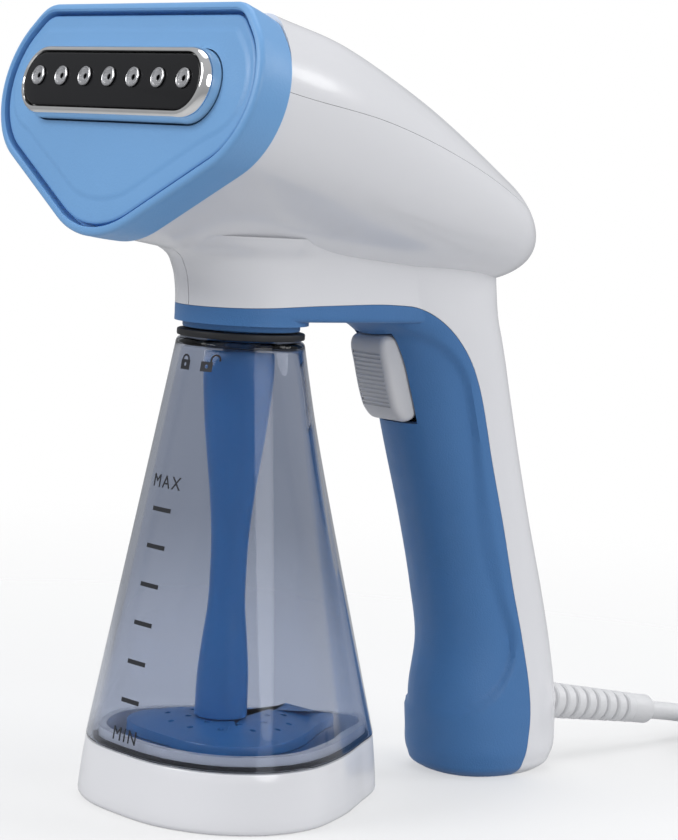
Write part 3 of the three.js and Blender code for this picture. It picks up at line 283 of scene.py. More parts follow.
def rounded_box(half_wide, low, high, radius, count):
    """A box outline with round corners."""
    corners = [(-half_wide, low), (half_wide, low), (half_wide, high), (-half_wide, high)]
    return evenly(rounded_corners([(*corner, radius) for corner in corners]), count)


def inset(ring, distance):
    """A ring moved in along its own normals."""
    along = np.roll(ring, -1, axis=0) - np.roll(ring, 1, axis=0)
    along /= np.linalg.norm(along, axis=1)[:, None]
    return ring + distance * np.stack([-along[:, 1], along[:, 0]], axis=1)


def kite_outline():
    """The steam face's outline, from the middle of its top edge round anticlockwise."""
    top = (0.776 * FACE_HALF_WIDTH, FACE_TOP, 11)
    side = (1.262 * FACE_HALF_WIDTH, -0.154 * FACE_DROP, 24.8)
    tip = (0, -1.116 * FACE_DROP, 35)
    corners = [(-x, y, r) for x, y, r in (top, side)] + [tip, side, top]
    path = rounded_corners(corners)
    loop = np.vstack([path, path[:1]])
    along = np.concatenate([[0], np.cumsum(np.linalg.norm(np.diff(loop, axis=0), axis=1))])
    return evenly(path, AROUND, along[-1] - np.linalg.norm(loop[0] - np.array((0, FACE_TOP))))


def stadium(half_length, half_height, count=AROUND):
    """A long round-ended outline about the steam plate's centre line."""
    run = half_length - half_height
    angles = np.linspace(-TURN / 4, TURN / 4, 40)
    right = (run, PLATE_SHIFT) + half_height * np.stack([np.cos(angles), np.sin(angles)], axis=1)
    left = np.stack([-right[:, 0], 2 * PLATE_SHIFT - right[:, 1]], axis=1)
    return evenly(np.vstack([right, left]), count)


def base_outline():
    """The base's outline: a wide front and a rounded tip at the back."""
    w, f, b = BASE_HALF_WIDTH, BASE_FRONT, BASE_BACK
    right = [
        (0.42 * w, -0.95 * f), (0.76 * w, -0.73 * f), (0.96 * w, -0.36 * f), (0.98 * w, 0.04 * b),
        (0.82 * w, 0.34 * b), (0.54 * w, 0.66 * b), (0.27 * w, 0.92 * b),
    ]
    left = [(-x, y) for x, y in reversed(right)]
    return evenly(curve_through([(0, -f), *right, (0, b), *left], 16, closed=True), AROUND)


KITE = kite_outline()
BASE = base_outline()


def level(ring, z):
    """A flat ring at a height."""
    return np.column_stack([ring, np.full(len(ring), z)])


def upright(ring, depth):
    """A ring standing in the head's frame at a depth behind the face."""
    return np.column_stack([ring[:, 0], np.full(len(ring), depth), ring[:, 1]])


def across_x(ring, x):
    """A ring standing across X."""
    return np.column_stack([np.full(len(ring), x), ring])


# ---------------------------------------------------------------- solids
def of_sort(items, sort):
    return [item for item in items if isinstance(item, sort)]


def loft(stations):
    """A closed skin through rings of points, drawn out ring by ring."""
    bm = bmesh.new()
    ring = bmesh.ops.create_circle(bm, segments=len(stations[0]), radius=1)["verts"]
    edges = bm.edges[:]
    rims = [edges]
    for vert, point in zip(ring, stations[0]):
        vert.co = point
    for station in stations[1:]:
        made = bmesh.ops.extrude_edge_only(bm, edges=edges)["geom"]
        new = set(of_sort(made, bmesh.types.BMVert))
        ring = [next(e.other_vert(v) for e in v.link_edges if e.other_vert(v) in new) for v in ring]
        edges = [e for e in of_sort(made, bmesh.types.BMEdge) if e.verts[0] in new and e.verts[1] in new]
        for vert, point in zip(ring, station):
            vert.co = point
    rims.append(edges)
    for rim in rims:
        bmesh.ops.edgeloop_fill(bm, edges=rim)
    bmesh.ops.recalc_face_normals(bm, faces=bm.faces)
    return bm


def spun(profile, steps=72, place=None):
    """A round body turned about Z from (radius, z) pairs; it starts and ends on the axis or on itself."""
    bm = bmesh.new()
    verts = [bm.verts.new((radius, 0, z)) for radius, z in profile]
    edges = [bm.edges.new(pair) for pair in zip(verts, verts[1:])]
    bmesh.ops.spin(
        bm, geom=verts + edges, cent=(0, 0, 0), axis=(0, 0, 1), angle=TURN, steps=steps, use_merge=True
    )
    bmesh.ops.remove_doubles(bm, verts=bm.verts, dist=1e-4)
    bmesh.ops.dissolve_degenerate(bm, edges=bm.edges, dist=1e-5)
    bmesh.ops.recalc_face_normals(bm, faces=bm.faces)
    if place is not None:
        bmesh.ops.transform(bm, matrix=place, verts=bm.verts)
    return bm


def rod(radius, start, end, place=None, steps=48):
    """A round bar about Z, or put in a place."""
    return spun([(0, start), (radius, start), (radius, end), (0, end)], steps, place)


def block(x0, x1, y0, y1, z0, z1):
    """A plain box between its limits."""
    bm = bmesh.new()
    size = Matrix.Diagonal((x1 - x0, y1 - y0, z1 - z0, 1))
    middle = Matrix.Translation(((x0 + x1) / 2, (y0 + y1) / 2, (z0 + z1) / 2))
    bmesh.ops.create_cube(bm, size=1, matrix=middle @ size)
    return bm


def drawn_out(points, vec):
    """A flat outline in space drawn out along a vector."""
    bm = bmesh.new()
    face = bm.faces.new([bm.verts.new(point) for point in points])
    made = bmesh.ops.extrude_face_region(bm, geom=[face])["geom"]
    bmesh.ops.translate(bm, vec=vec, verts=of_sort(made, bmesh.types.BMVert))
    bmesh.ops.recalc_face_normals(bm, faces=bm.faces)
    return bm


def side_view(points, x0, x1):
    """A side view in the YZ plane, drawn out along X."""
    return drawn_out([(x0, y, z) for y, z in points], (x1 - x0, 0, 0))


def along_y(x=0.0, z=0.0):
    """Turns a body made about Z to lie along Y."""
    return Matrix.Translation((x, 0, z)) @ Matrix.Rotation(-TURN / 4, 4, "X")


def along_x(y, z):
    """Turns a body made about Z to lie along X."""
    return Matrix.Translation((0, y, z)) @ Matrix.Rotation(TURN / 4, 4, "Y")


def stand_in(bm):
    mesh = bpy.data.meshes.new("stand_in")
    bm.to_mesh(mesh)
    bm.free()
    return added("stand_in", mesh)


def combined(base, tools, operation):
    """Joins, cuts or crosses a body with others. All of them are used up."""
    body = stand_in(base)
    cutters = [stand_in(tool) for tool in tools]
    for cutter in cutters:
        step = body.modifiers.new("step", "BOOLEAN")
        step.object = cutter
        step.operation = operation
        step.solver = "MANIFOLD"
    bpy.context.view_layer.update()
    mesh = bpy.data.meshes.new_from_object(body.evaluated_get(bpy.context.evaluated_depsgraph_get()))
    out = bmesh.new()
    out.from_mesh(mesh)
    if not out.faces:
        raise RuntimeError("a solid came out empty")
    bpy.data.meshes.remove(mesh)
    for used in [body, *cutters]:
        mesh = used.data
        bpy.data.objects.remove(used)
        bpy.data.meshes.remove(mesh)
    return out


def joined(base, *tools):
    return combined(base, tools, "UNION")


def cut(base, *tools):
    return combined(base, tools, "DIFFERENCE")


def crossed(base, tool):
    return combined(base, [tool], "INTERSECT")


def added(name, data):
    """An object in the scene that shows the data."""
    made = bpy.data.objects.new(name, data)
    bpy.context.scene.collection.objects.link(made)
    return made


def dress(name, look):
    """Gives a piece of the frame its finish."""
    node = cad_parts[name]
    node.data.materials.clear()
    node.data.materials.append(FINISHES[look])
    return node


def finish(name, bm, look, node=None, body="root", sharp=32.0):
    """Makes the shown piece from a body in millimetres, in the finish called look."""
    bmesh.ops.scale(bm, vec=(MM, MM, MM), verts=bm.verts)
    mesh = bpy.data.meshes.new(name)
    bm.to_mesh(mesh)
    bm.free()
    mesh.materials.append(FINISHES[look])
    mesh.polygons.foreach_set("use_smooth", [True] * len(mesh.polygons))
    mesh.set_sharp_from_angle(angle=math.radians(sharp))
    made = added(name, mesh)
    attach(made, body)
    if node:
        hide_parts(node)
    return made


# ---------------------------------------------------------------- finishes
def new_material(name):
    """A material with its shader and output, and the piece's own coordinates."""
    made = bpy.data.materials.new(name)
    made.use_nodes = True
    tree = made.node_tree
    shader = tree.nodes["Principled BSDF"]
    place = tree.nodes.new("ShaderNodeTexCoord")
    return made, tree, shader, place.outputs["Object"]


def noise(tree, place, scale, detail=3.0):
    grain = tree.nodes.new("ShaderNodeTexNoise")
    grain.inputs["Scale"].default_value = scale
    grain.inputs["Detail"].default_value = detail
    tree.links.new(place, grain.inputs["Vector"])
    return grain.outputs["Fac"]


def ramp(tree, value, low, high):
    """Spreads a value between two colours or two greys."""
    made = tree.nodes.new("ShaderNodeValToRGB")
    made.color_ramp.elements[0].position = 0.3
    made.color_ramp.elements[1].position = 0.7
    made.color_ramp.elements[0].color = (*low, 1) if hasattr(low, "__len__") else (low, low, low, 1)
    made.color_ramp.elements[1].color = (*high, 1) if hasattr(high, "__len__") else (high, high, high, 1)
    tree.links.new(value, made.inputs["Fac"])
    return made.outputs["Color"]


def spread(tree, value, ends, interpolation="LINEAR"):
    """Carries a value over to another range: ends are from low, from high, to low, to high."""
    made = tree.nodes.new("ShaderNodeMapRange")
    made.interpolation_type = interpolation
    for name, end in zip(("From Min", "From Max", "To Min", "To Max"), ends):
        made.inputs[name].default_value = end
    tree.links.new(value, made.inputs["Value"])
    return made.outputs["Result"]


def grained(tree, shader, value, strength, distance):
    bump = tree.nodes.new("ShaderNodeBump")
    bump.inputs["Strength"].default_value = strength
    bump.inputs["Distance"].default_value = distance
    tree.links.new(value, bump.inputs["Height"])
    tree.links.new(bump.outputs["Normal"], shader.inputs["Normal"])


def moulded(name, tint, roughness, grain=900.0, strength=0.08, drift=0.04, coat=0.0, sheen=0.0, shine=0.5):
    """Moulded plastic or rubber: a faint drift of tone, uneven gloss and a fine grain."""
    made, tree, shader, place = new_material(name)
    tint = Vector(tint)
    tones = ramp(tree, noise(tree, place, 18.0), tint * (1 - drift), tint * (1 + 0.4 * drift))
    tree.links.new(tones, shader.inputs["Base Color"])
    gloss = noise(tree, place, 160.0, 2.0)
    tree.links.new(ramp(tree, gloss, roughness * 0.88, roughness * 1.12), shader.inputs["Roughness"])
    grained(tree, shader, noise(tree, place, grain, 2.0), strength, 0.00025)
    shader.inputs["Coat Weight"].default_value = coat
    shader.inputs["Coat Roughness"].default_value = 0.08
    shader.inputs["Sheen Weight"].default_value = sheen
    shader.inputs["Specular IOR Level"].default_value = shine
    return made


def polished(name, tint, roughness, streaks=0.0):
    """Metal: polished, with fine streaks when brushed."""
    made, tree, shader, place = new_material(name)
    shader.inputs["Metallic"].default_value = 1.0
    smear = noise(tree, place, 220.0, 2.0)
    tree.links.new(ramp(tree, smear, Vector(tint) * 0.96, tint), shader.inputs["Base Color"])
    stretch = tree.nodes.new("ShaderNodeMapping")
    stretch.inputs["Scale"].default_value = (60.0, 2400.0, 2400.0)
    tree.links.new(place, stretch.inputs["Vector"])
    lines = noise(tree, stretch.outputs["Vector"], 1.0, 2.0)
    tree.links.new(ramp(tree, lines, roughness * 0.8, roughness * 1.25), shader.inputs["Roughness"])
    if streaks:
        grained(tree, shader, lines, streaks, 0.0001)
    return made


def smoked(name, tint):
    """Clear tinted plastic, with a faint flow of the moulding in its gloss."""
    made, tree, shader, place = new_material(name)
    flow = noise(tree, place, 30.0, 2.0)
    tree.links.new(ramp(tree, flow, Vector(tint) * 0.985, tint), shader.inputs["Base Color"])
    tree.links.new(ramp(tree, flow, 0.02, 0.05), shader.inputs["Roughness"])
    shader.inputs["Transmission Weight"].default_value = 1.0
    shader.inputs["IOR"].default_value = 1.3
    return made


FINISHES = {}


def make_finishes(colours):
    """Every finish of the steamer, by the name of its slot."""
    FINISHES.update(
        white_shell=moulded("gloss_white_shell", colours.shell, 0.2, 420, 0.05, 0.015, coat=0.35),
        face_blue=moulded("satin_blue_face", colours.face, 0.42, 1500, 0.25, 0.03),
        grip_blue=moulded("soft_blue_grip", colours.grip, 0.5, 2200, 0.4, 0.06, sheen=0.15),
        stem_blue=moulded("blue_stem", colours.stem, 0.32, 700, 0.08, 0.05),
        tank_clear=smoked("smoked_clear_tank", colours.tank),
        plate_black=moulded("black_plate", (0.008, 0.008, 0.009), 0.2, 1800, 0.08, 0.1, shine=0.3),
        chrome=polished("polished_chrome", (0.90, 0.89, 0.87), 0.06),
        steel=polished("brushed_steel", (0.62, 0.62, 0.63), 0.28, 0.1),
        cast_alloy=polished("cast_aluminium", (0.45, 0.46, 0.47), 0.6, 0.3),
        rubber_black=moulded("black_rubber", (0.01, 0.01, 0.012), 0.55, 1600, 0.3, 0.1),
        trigger_grey=moulded("grey_trigger", colours.trigger, 0.34, 900, 0.12, 0.03),
        cord_white=moulded("white_flexible_cord", colours.cord, 0.45, 1300, 0.2, 0.03),
        black_plastic=moulded("printed_ink", colours.print_ink, 0.5, 1800, 0.1, 0.1),
        silicone=moulded("silicone_hose", (0.78, 0.72, 0.6), 0.5, 600, 0.1, 0.05),
        board_green=moulded("green_board", (0.02, 0.14, 0.05), 0.5, 900, 0.2, 0.15),
        sponge=moulded("yellow_sponge", (0.62, 0.5, 0.12), 0.9, 500, 1.0, 0.3),
        inner_white=moulded("inner_white", (0.8, 0.8, 0.81), 0.4, 800, 0.1, 0.03),
    )


# ---------------------------------------------------------------- body forms
def barrel(distance):
    """The barrel, from the kite of its face to an ellipse, closed at the tail like a dome."""
    front = FACE_Y + (BEZEL_DEPTH + GAP) / math.cos(math.radians(FACE_TILT)) - distance
    round_from = TAIL_Y - TAIL_ROUND
    straight, domed = 44, 26
    depths = [(front + (round_from - front) * i / straight, 1.0) for i in range(straight + 1)]
    for i in range(1, domed + 1):
        angle = math.radians(88 * i / domed)
        depths.append((round_from + (TAIL_ROUND - distance) * math.sin(angle), math.cos(angle)))
    angles = TURN / 4 + TURN * np.arange(AROUND) / AROUND
    face_middle = (FACE_TOP - FACE_DROP) / 2
    stations = []
    for y, shrink in depths:
        along = min(1.0, (y - front) / (round_from - front))
        kite = (1 - along) ** 1.6
        top, bottom, half = smooth_rows(BARREL, y)[0]
        top, bottom, half = top - distance, bottom + distance, half - distance
        tilt = math.tan(math.radians(FACE_TILT)) * (1 - along) ** 2
        across = half * KITE[:, 0] / FACE_HALF_WIDTH
        up = (top - bottom) * (KITE[:, 1] - face_middle) / (FACE_TOP + FACE_DROP)
        x = (1 - kite) * half * np.cos(angles) + kite * across
        rise = (1 - kite) * (top - bottom) / 2 * np.sin(angles) + kite * up
        z = (top + bottom) / 2 + shrink * rise
        stations.append(np.column_stack([shrink * x, y + tilt * (z - FACE_Z), z]))
    return loft(stations)


def neck(distance):
    """The neck and the bridge behind it, flared forward where it meets the barrel."""
    radius = NECK_RADIUS - distance
    front = np.linspace(TURN / 2, TURN, 60)
    back = np.linspace(0, TURN / 2, 60)
    outline = np.vstack(
        [
            np.stack([radius * np.cos(front), radius * np.sin(front)], axis=1),
            np.stack([radius * np.cos(back), BRIDGE_BACK + radius * np.sin(back)], axis=1),
        ]
    )
    ring = evenly(outline, AROUND)
    fade = 45
    bottom, top = BRIDGE_BOTTOM + distance, NECK_TOP + distance
    heights = [(bottom, 1.0), (bottom + 0.3, 0.45), (bottom + 0.9, 0.1), (bottom + 1.6, 0.0)]
    heights += [(bottom + 1.6 + (top - bottom - 1.6) * i / 24, 0.0) for i in range(1, 25)]
    stations = []
    for z, pulled in heights:
        flare = smooth_rows(NECK, z - distance)[0][0]
        edge = inset(ring, pulled)
        share = np.where(edge[:, 1] < 0, 1.0, np.clip(1 - edge[:, 1] / fade, 0, 1) ** 2)
        slim = 1 - 0.09 * np.clip(edge[:, 1] / BRIDGE_BACK, 0, 1) ** 2
        x = edge[:, 0] * slim * (1 + (flare - 1) * 0.45 * share)
        y = np.where(edge[:, 1] < 0, edge[:, 1] * flare, edge[:, 1])
        stations.append(level(np.stack([x, y], axis=1), z))
    return loft(stations)


def scooped(points, depth):
    """Lets the finger scoop into the sides of the grip: a soft step along its edge line."""
    edge = curve_through(SCOOP_EDGE, 6)
    a, d = edge[:-1], np.diff(edge, axis=0)
    flat = points[:, 1:3]
    t = np.clip(((flat[:, None] - a) * d).sum(2) / (d * d).sum(1), 0, 1)
    away = flat[:, None] - a - t[..., None] * d
    far = np.linalg.norm(away, axis=2)
    nearest = far.argmin(1)
    turned = d[:, 0] * away[..., 1] - d[:, 1] * away[..., 0]
    side = np.take_along_axis(turned, nearest[:, None], 1)[:, 0]
    signed = np.where(side < 0, 1.0, -1.0) * far.min(1)
    soft = 1.7 + np.clip((110 - flat[:, 1]) / 30, 0, 1) * 4.0 * np.clip((flat[:, 1] - 46) / 20, 0, 1)
    s = np.clip(signed / soft + 0.25, 0, 1)
    s = s * s * (3 - 2 * s)
    out = points.copy()
    out[:, 0] -= np.sign(points[:, 0]) * depth * s * np.clip(np.abs(points[:, 0]) / 7, 0, 1)
    return out


def handle(distance, depth):
    """The pistol handle: superelliptic sections, fuller at the foot."""
    rows = np.concatenate([np.linspace(0, 5, 12)[:-1], np.linspace(5, NECK_TOP, 110)])
    angles = TURN * np.arange(AROUND) / AROUND

    def power(value):
        return np.sign(value) * np.abs(value) ** (2 / HANDLE_SQUARE)

    stations = []
    for n, z in enumerate(rows):
        front, back, share = smooth_rows(HANDLE, z)[0]
        half = HANDLE_HALF_WIDTH * share - distance
        deep = (back - front) / 2 - distance
        height = z + distance if n == 0 else max(z, 1.05 * distance + 0.01 * n)
        across, along = half * power(np.cos(angles)), deep * power(np.sin(angles))
        ring = level(np.stack([across, (front + back) / 2 + along], axis=1), height)
        stations.append(scooped(ring, depth) if depth else ring)
    return loft(stations)


def trigger_outline():
    return evenly(curve_through(TRIGGER, 8, closed=True), 96)


def trigger_ways():
    """The room the trigger takes in the grip, let go and pressed."""
    pivot = Vector((0, *TRIGGER_PIVOT))
    reach = TRIGGER_HALF_WIDTH + 2 * GAP
    ways = []
    for share in (0, 1 / 3, 2 / 3, 1):
        way = side_view(inset(trigger_outline(), -0.6), -reach, reach)
        turn = Matrix.Rotation(math.radians(TRIGGER_SWING * share), 3, "X")
        bmesh.ops.rotate(way, cent=pivot, matrix=turn, verts=way.verts)
        ways.append(way)
    return ways


def above_seam(shift):
    line = curve_through(SEAM, 8) + np.array((0, shift))
    return side_view([*line, (140, REACH), (-90, REACH)], -REACH, REACH)


def grip_region(shift):
    line = curve_through(GRIP_EDGE, 8) + shift
    return side_view([*line, (104, -40), (-60, -40)], -REACH, REACH)


def tank_ring(distance, z):
    """The tank's section at a height: the base's outline below, running straight to a circle above."""
    low = inset(BASE, BASE_DRAFT + distance)
    high = BASE / np.linalg.norm(BASE, axis=1)[:, None] * (TANK_TOP_RADIUS - distance)
    share = (z - TANK_RIM) / (TANK_SHOULDER - TANK_RIM)
    return low + (high - low) * share


def on_base(rows, pulled=0.0):
    """A loft of the base's outline from (height, inset) rows."""
    return loft([level(inset(BASE, pulled + extra), z) for z, extra in rows])


class PieceOperator:
    """What every operator here shares: it builds its pieces and is done."""

    bl_options = {"REGISTER", "UNDO"}

    def execute(self, context):
        self.build(context.scene)
        return {"FINISHED"}


class STEAMER_OT_camera(PieceOperator, bpy.types.Operator):
    """Place the camera low on the right of the steam face"""

    bl_idname = "steamer.camera"
    bl_label = "Camera"

    def build(self, scene):
        data = bpy.data.cameras.new("camera")
        data.lens = CAMERA_LENS
        scene.camera = added("camera", data)
        scene.camera.matrix_world = (
            Matrix.Translation(CAMERA_AIM)
            @ Matrix.Rotation(math.radians(CAMERA_AZIMUTH), 4, "Z")
            @ Matrix.Rotation(math.radians(90 - CAMERA_ELEVATION), 4, "X")
            @ Matrix.Rotation(math.radians(CAMERA_ROLL), 4, "Z")
            @ Matrix.Translation((0, 0, CAMERA_DISTANCE))
        )


def eased(value):
    value = min(1, max(0, value))
    return value * value * (3 - 2 * value)


def cord_route():
    """The cord's points in metres: straight out, down to the floor, into the coil and out to the plug.

    Four turns lie on the floor, each stepping in near its end. The last one climbs, and three more step out
    on top of them.
    """
    route = [Vector(p) for p in CORD_POINTS]
    per_turn = 20
    cx, cy = COIL_CENTRE
    for i in range(1, int(7.2 * per_turn) + 1):
        turn, share = divmod(i / per_turn, 1)
        radius, z = COIL_OUTER, 9.1
        if turn < 3:
            radius, z = COIL_OUTER - COIL_PITCH * (turn + eased((share - 0.68) / 0.26)), 3.1
        elif turn == 3:
            radius, z = COIL_INNER, 3.1 + 6 * eased((share - 0.56) / 0.36)
        elif turn < 7:
            radius = COIL_INNER + COIL_PITCH * (turn - 4 + eased((share - 0.3) / 0.26))
        angle = math.pi - TURN * i / per_turn
        route.append(Vector((cx + radius * math.cos(angle), cy + radius * math.sin(angle), z)) * MM)
    return route + [Vector(p) for p in TAIL_POINTS]


class STEAMER_OT_power_cord(PieceOperator, bpy.types.Operator):
    """Lay the mains lead: strain relief, lead, coil with its tie, and plug"""

    bl_idname = "steamer.power_cord"
    bl_label = "Power cord"

    def build(self, scene):
        sizes = scene.steamer_sizes
        radius = sizes.cord_diameter / 2
        data = bpy.data.curves.new("power_lead", "CURVE")
        data.dimensions = "3D"
        data.bevel_depth = radius
        data.bevel_resolution = 4
        data.resolution_u = 4
        data.use_fill_caps = True
        route = cord_route()
        spline = data.splines.new("BEZIER")
        spline.bezier_points.add(len(route) - 1)
        for point, at in zip(spline.bezier_points, route):
            point.co = at
            point.handle_left_type = point.handle_right_type = "AUTO"
        data.materials.append(FINISHES["cord_white"])
        lead = added("power_lead", data)
        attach(lead, "root")
        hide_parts("power_cord", "cord_coil", "cord_tail")
        pieces = [self.relief(), *self.tie(radius / MM), *self.plug(route[-1])]

    def relief(self):
        """The ribbed sleeve, slimmer towards its plain end."""
        wide, length, deep = RELIEF_RADIUS, RELIEF_LENGTH, RELIEF_GROOVE
        end, flange = wide - 1, wide + RELIEF_FLANGE
        ribs, pitch, first = RELIEF_RIBS, RELIEF_PITCH, RELIEF_FIRST
        profile = [(0, -3.4), (flange, -3.4), (flange, -1.4), (wide, -1.4), (wide, first - 0.4)]
        profile += [(wide - 0.35, first)]
        for n in range(ribs):
            start = first + n * pitch
            rib = wide + (end - wide) * n / ribs
            profile += [(rib - deep, start + 0.1), (rib - deep, start + 1.25), (rib - 0.4, start + 1.35)]
            profile += [(rib, start + 1.8), (rib, start + pitch - 0.4), (rib - 0.35, start + pitch)]
        profile += [(end, first + ribs * pitch + 0.4), (end, length - 0.8), (end - 0.3, length - 0.2)]
        profile += [(end - 0.9, length), (0, length)]
        body = spun(profile, 64, RELIEF_PLACE)
        return finish("cord_relief", body, "cord_white", "strain_relief")

    def tie(self, radius):
        """A soft strap round the bundle of turns."""
        cx, cy = COIL_CENTRE
        middle = (COIL_OUTER + COIL_INNER) / 2
        half_wide = (COIL_OUTER - COIL_INNER) / 2 + radius + 0.5
        ring = rounded_box(half_wide, 0.05, TIE_TOP, 2.6, 80) + (cy - middle, 0)
        reach = TIE_HALF_WIDTH
        outer = [across_x(ring, x) for x in (cx - reach, cx + reach)]
        inner = [across_x(inset(ring, TIE_THICK), x) for x in (cx - reach - 1, cx + reach + 1)]
        strap = cut(loft(outer), loft(inner))
        return [finish("cord_tie", strap, "rubber_black")]

    def plug(self, end):
        """A moulded two-blade plug, ribbed where it is gripped."""
        x0, y0, _ = end / MM
        wide, half = PLUG_HALF_WIDTH, PLUG_HALF_HEIGHT
        ring = rounded_box(wide, -half, half, 4, 72) + (y0, half)
        rows = [(0.3, 5.2), (0.5, 4.6), (1.4, 4.2), (6, 3.2), (12, 1.6), (17, 0.6)]
        rows += [(32.3, 0), (33.6, 0.5), (34.3, 1.6)]
        body = loft([across_x(inset(ring, pulled), x0 + x) for x, pulled in rows])
        starts = [x0 + 14 + PLUG_GRIP_PITCH * n for n in range(PLUG_GRIPS)]
        sides = (y0 - wide - 0.2, y0 + wide + 0.2)
        grooves = [block(x, x + 1.2, y - 0.9, y + 0.9, 3.5, 12.5) for x in starts for y in sides]
        body = cut(body, *grooves)
        moulding = finish("lead_plug", body, "cord_white", "plug_body")
        return [moulding, dress("plug_blade_1", "steel"), dress("plug_blade_2", "steel")]


class STEAMER_OT_body(PieceOperator, bpy.types.Operator):
    """Mould the shells of the body: two halves, the top cover and the soft grip"""

    bl_idname = "steamer.body"
    bl_label = "Body shells"

    def build(self, scene):
        depth = scene.steamer_sizes.scoop_depth
        socket_wall = rod(NECK_RADIUS, NECK_BOTTOM, NECK_TOP, steps=96)
        outer = joined(barrel(0), neck(0), handle(0, depth), socket_wall)
        hollow = rod(NECK_RADIUS - WALL, NECK_BOTTOM + WALL, NECK_TOP)
        inner = joined(barrel(WALL), neck(WALL), handle(WALL, depth), hollow)
        socket = rod(COLLAR_RADIUS + GAP, NECK_BOTTOM - 10, NECK_BOTTOM + WALL + 1, steps=96)
        relief_way = rod(RELIEF_RADIUS + GAP, -8, 20, RELIEF_PLACE)
        case = outer.copy()
        shell = cut(outer, inner, socket, relief_way, *trigger_ways())
        lower = cut(shell.copy(), grip_region(HAIRLINE), above_seam(-HAIRLINE))
        cover = crossed(shell.copy(), above_seam(HAIRLINE))
        grip = crossed(shell, grip_region(-HAIRLINE))
        right = crossed(lower.copy(), block(GAP / 2, REACH, -REACH, REACH, -REACH, REACH))
        left = crossed(lower, block(-REACH, -GAP / 2, -REACH, REACH, -REACH, REACH))
        bosses = joined(*[rod(SCREW_BOSS, -REACH, -GAP / 2, along_x(*at)) for at in SCREWS])
        wells = [rod(SCREW_WELL, -REACH, SCREW_SEAT, along_x(*at)) for at in SCREWS]
        shanks = [rod(SCREW_SHANK, -REACH, SCREW_END, along_x(*at)) for at in SCREWS]
        left = cut(joined(left, crossed(bosses, case)), *wells, *shanks)
        finish("shell_left", left, "white_shell", "housing_left")
        finish("shell_right", right, "white_shell", "housing_right")
        finish("shell_cover", cover, "white_shell", "top_cover")
        finish("soft_grip", grip, "grip_blue", "grip_shell")


def in_head(rows, ring):
    """A loft in the head's frame from (depth, inset) rows of one outline, put in its place."""
    body = loft([upright(inset(ring, distance), depth) for depth, distance in rows])
    bmesh.ops.transform(body, matrix=HEAD, verts=body.verts)
    return body


class STEAMER_OT_face(PieceOperator, bpy.types.Operator):
    """Mould the steam face: the deep bezel and the plate let into it"""

    bl_idname = "steamer.face"
    bl_label = "Steam face"

    def build(self, scene):
        rim = [(0, 2.0), (0.05, 1.4), (0.25, 0.85), (0.6, 0.4), (1.1, 0.13), (1.7, 0.06)]
        skirt = [(BEZEL_DEPTH * i / 8, 0.06 + 1.34 * (i / 8) ** 1.5) for i in range(2, 9)]
        bezel = in_head(rim + skirt, KITE)
        lip = BEZEL_LIP
        edge = lip + FACE_GROOVE
        pocket = in_head([(-5, lip - 0.5), (0.01, lip - 0.5), (0.5, lip), (FACE_THICK + GAP, lip)], KITE)
        opening = in_head([(-5, BEZEL_SEAT), (BEZEL_DEPTH + 5, BEZEL_SEAT)], KITE)
        finish("face_bezel", cut(bezel, pocket, opening), "face_blue", "head_bezel")
        normal = inset(KITE, 1) - KITE
        up, down = np.clip(-normal[:, 1:], 0, 1), np.clip(normal[:, 1:], 0, 1)
        step = STEP_SIDE + STEP_TOP * up**2 + STEP_TIP * down**2
        margin, top = FACE_MARGIN_DEPTH, FACE_MARGIN_DEPTH - FACE_STEP
        rows = [(top, step + 1.5), (top + 0.04, step + 0.9), (top + 0.5 * FACE_STEP, step + 0.3)]
        rows += [(margin - 0.04, step - 0.3), (margin, step - 0.8), (margin, edge + 0.8)]
        rows += [(margin + 0.1, edge + 0.3), (margin + 0.4, edge), (FACE_THICK, edge)]
        hole = stadium(PLATE_HALF_LENGTH + PLATE_DRAFT, PLATE_HALF_HEIGHT + PLATE_DRAFT)
        way = in_head([(-5, -GAP - 0.3), (0.0, -GAP - 0.3), (0.35, -GAP), (FACE_THICK + 5, -GAP)], hole)
        plate = cut(in_head(rows, KITE), way)
        finish("face_panel", plate, "face_blue", "face_plate", sharp=40)


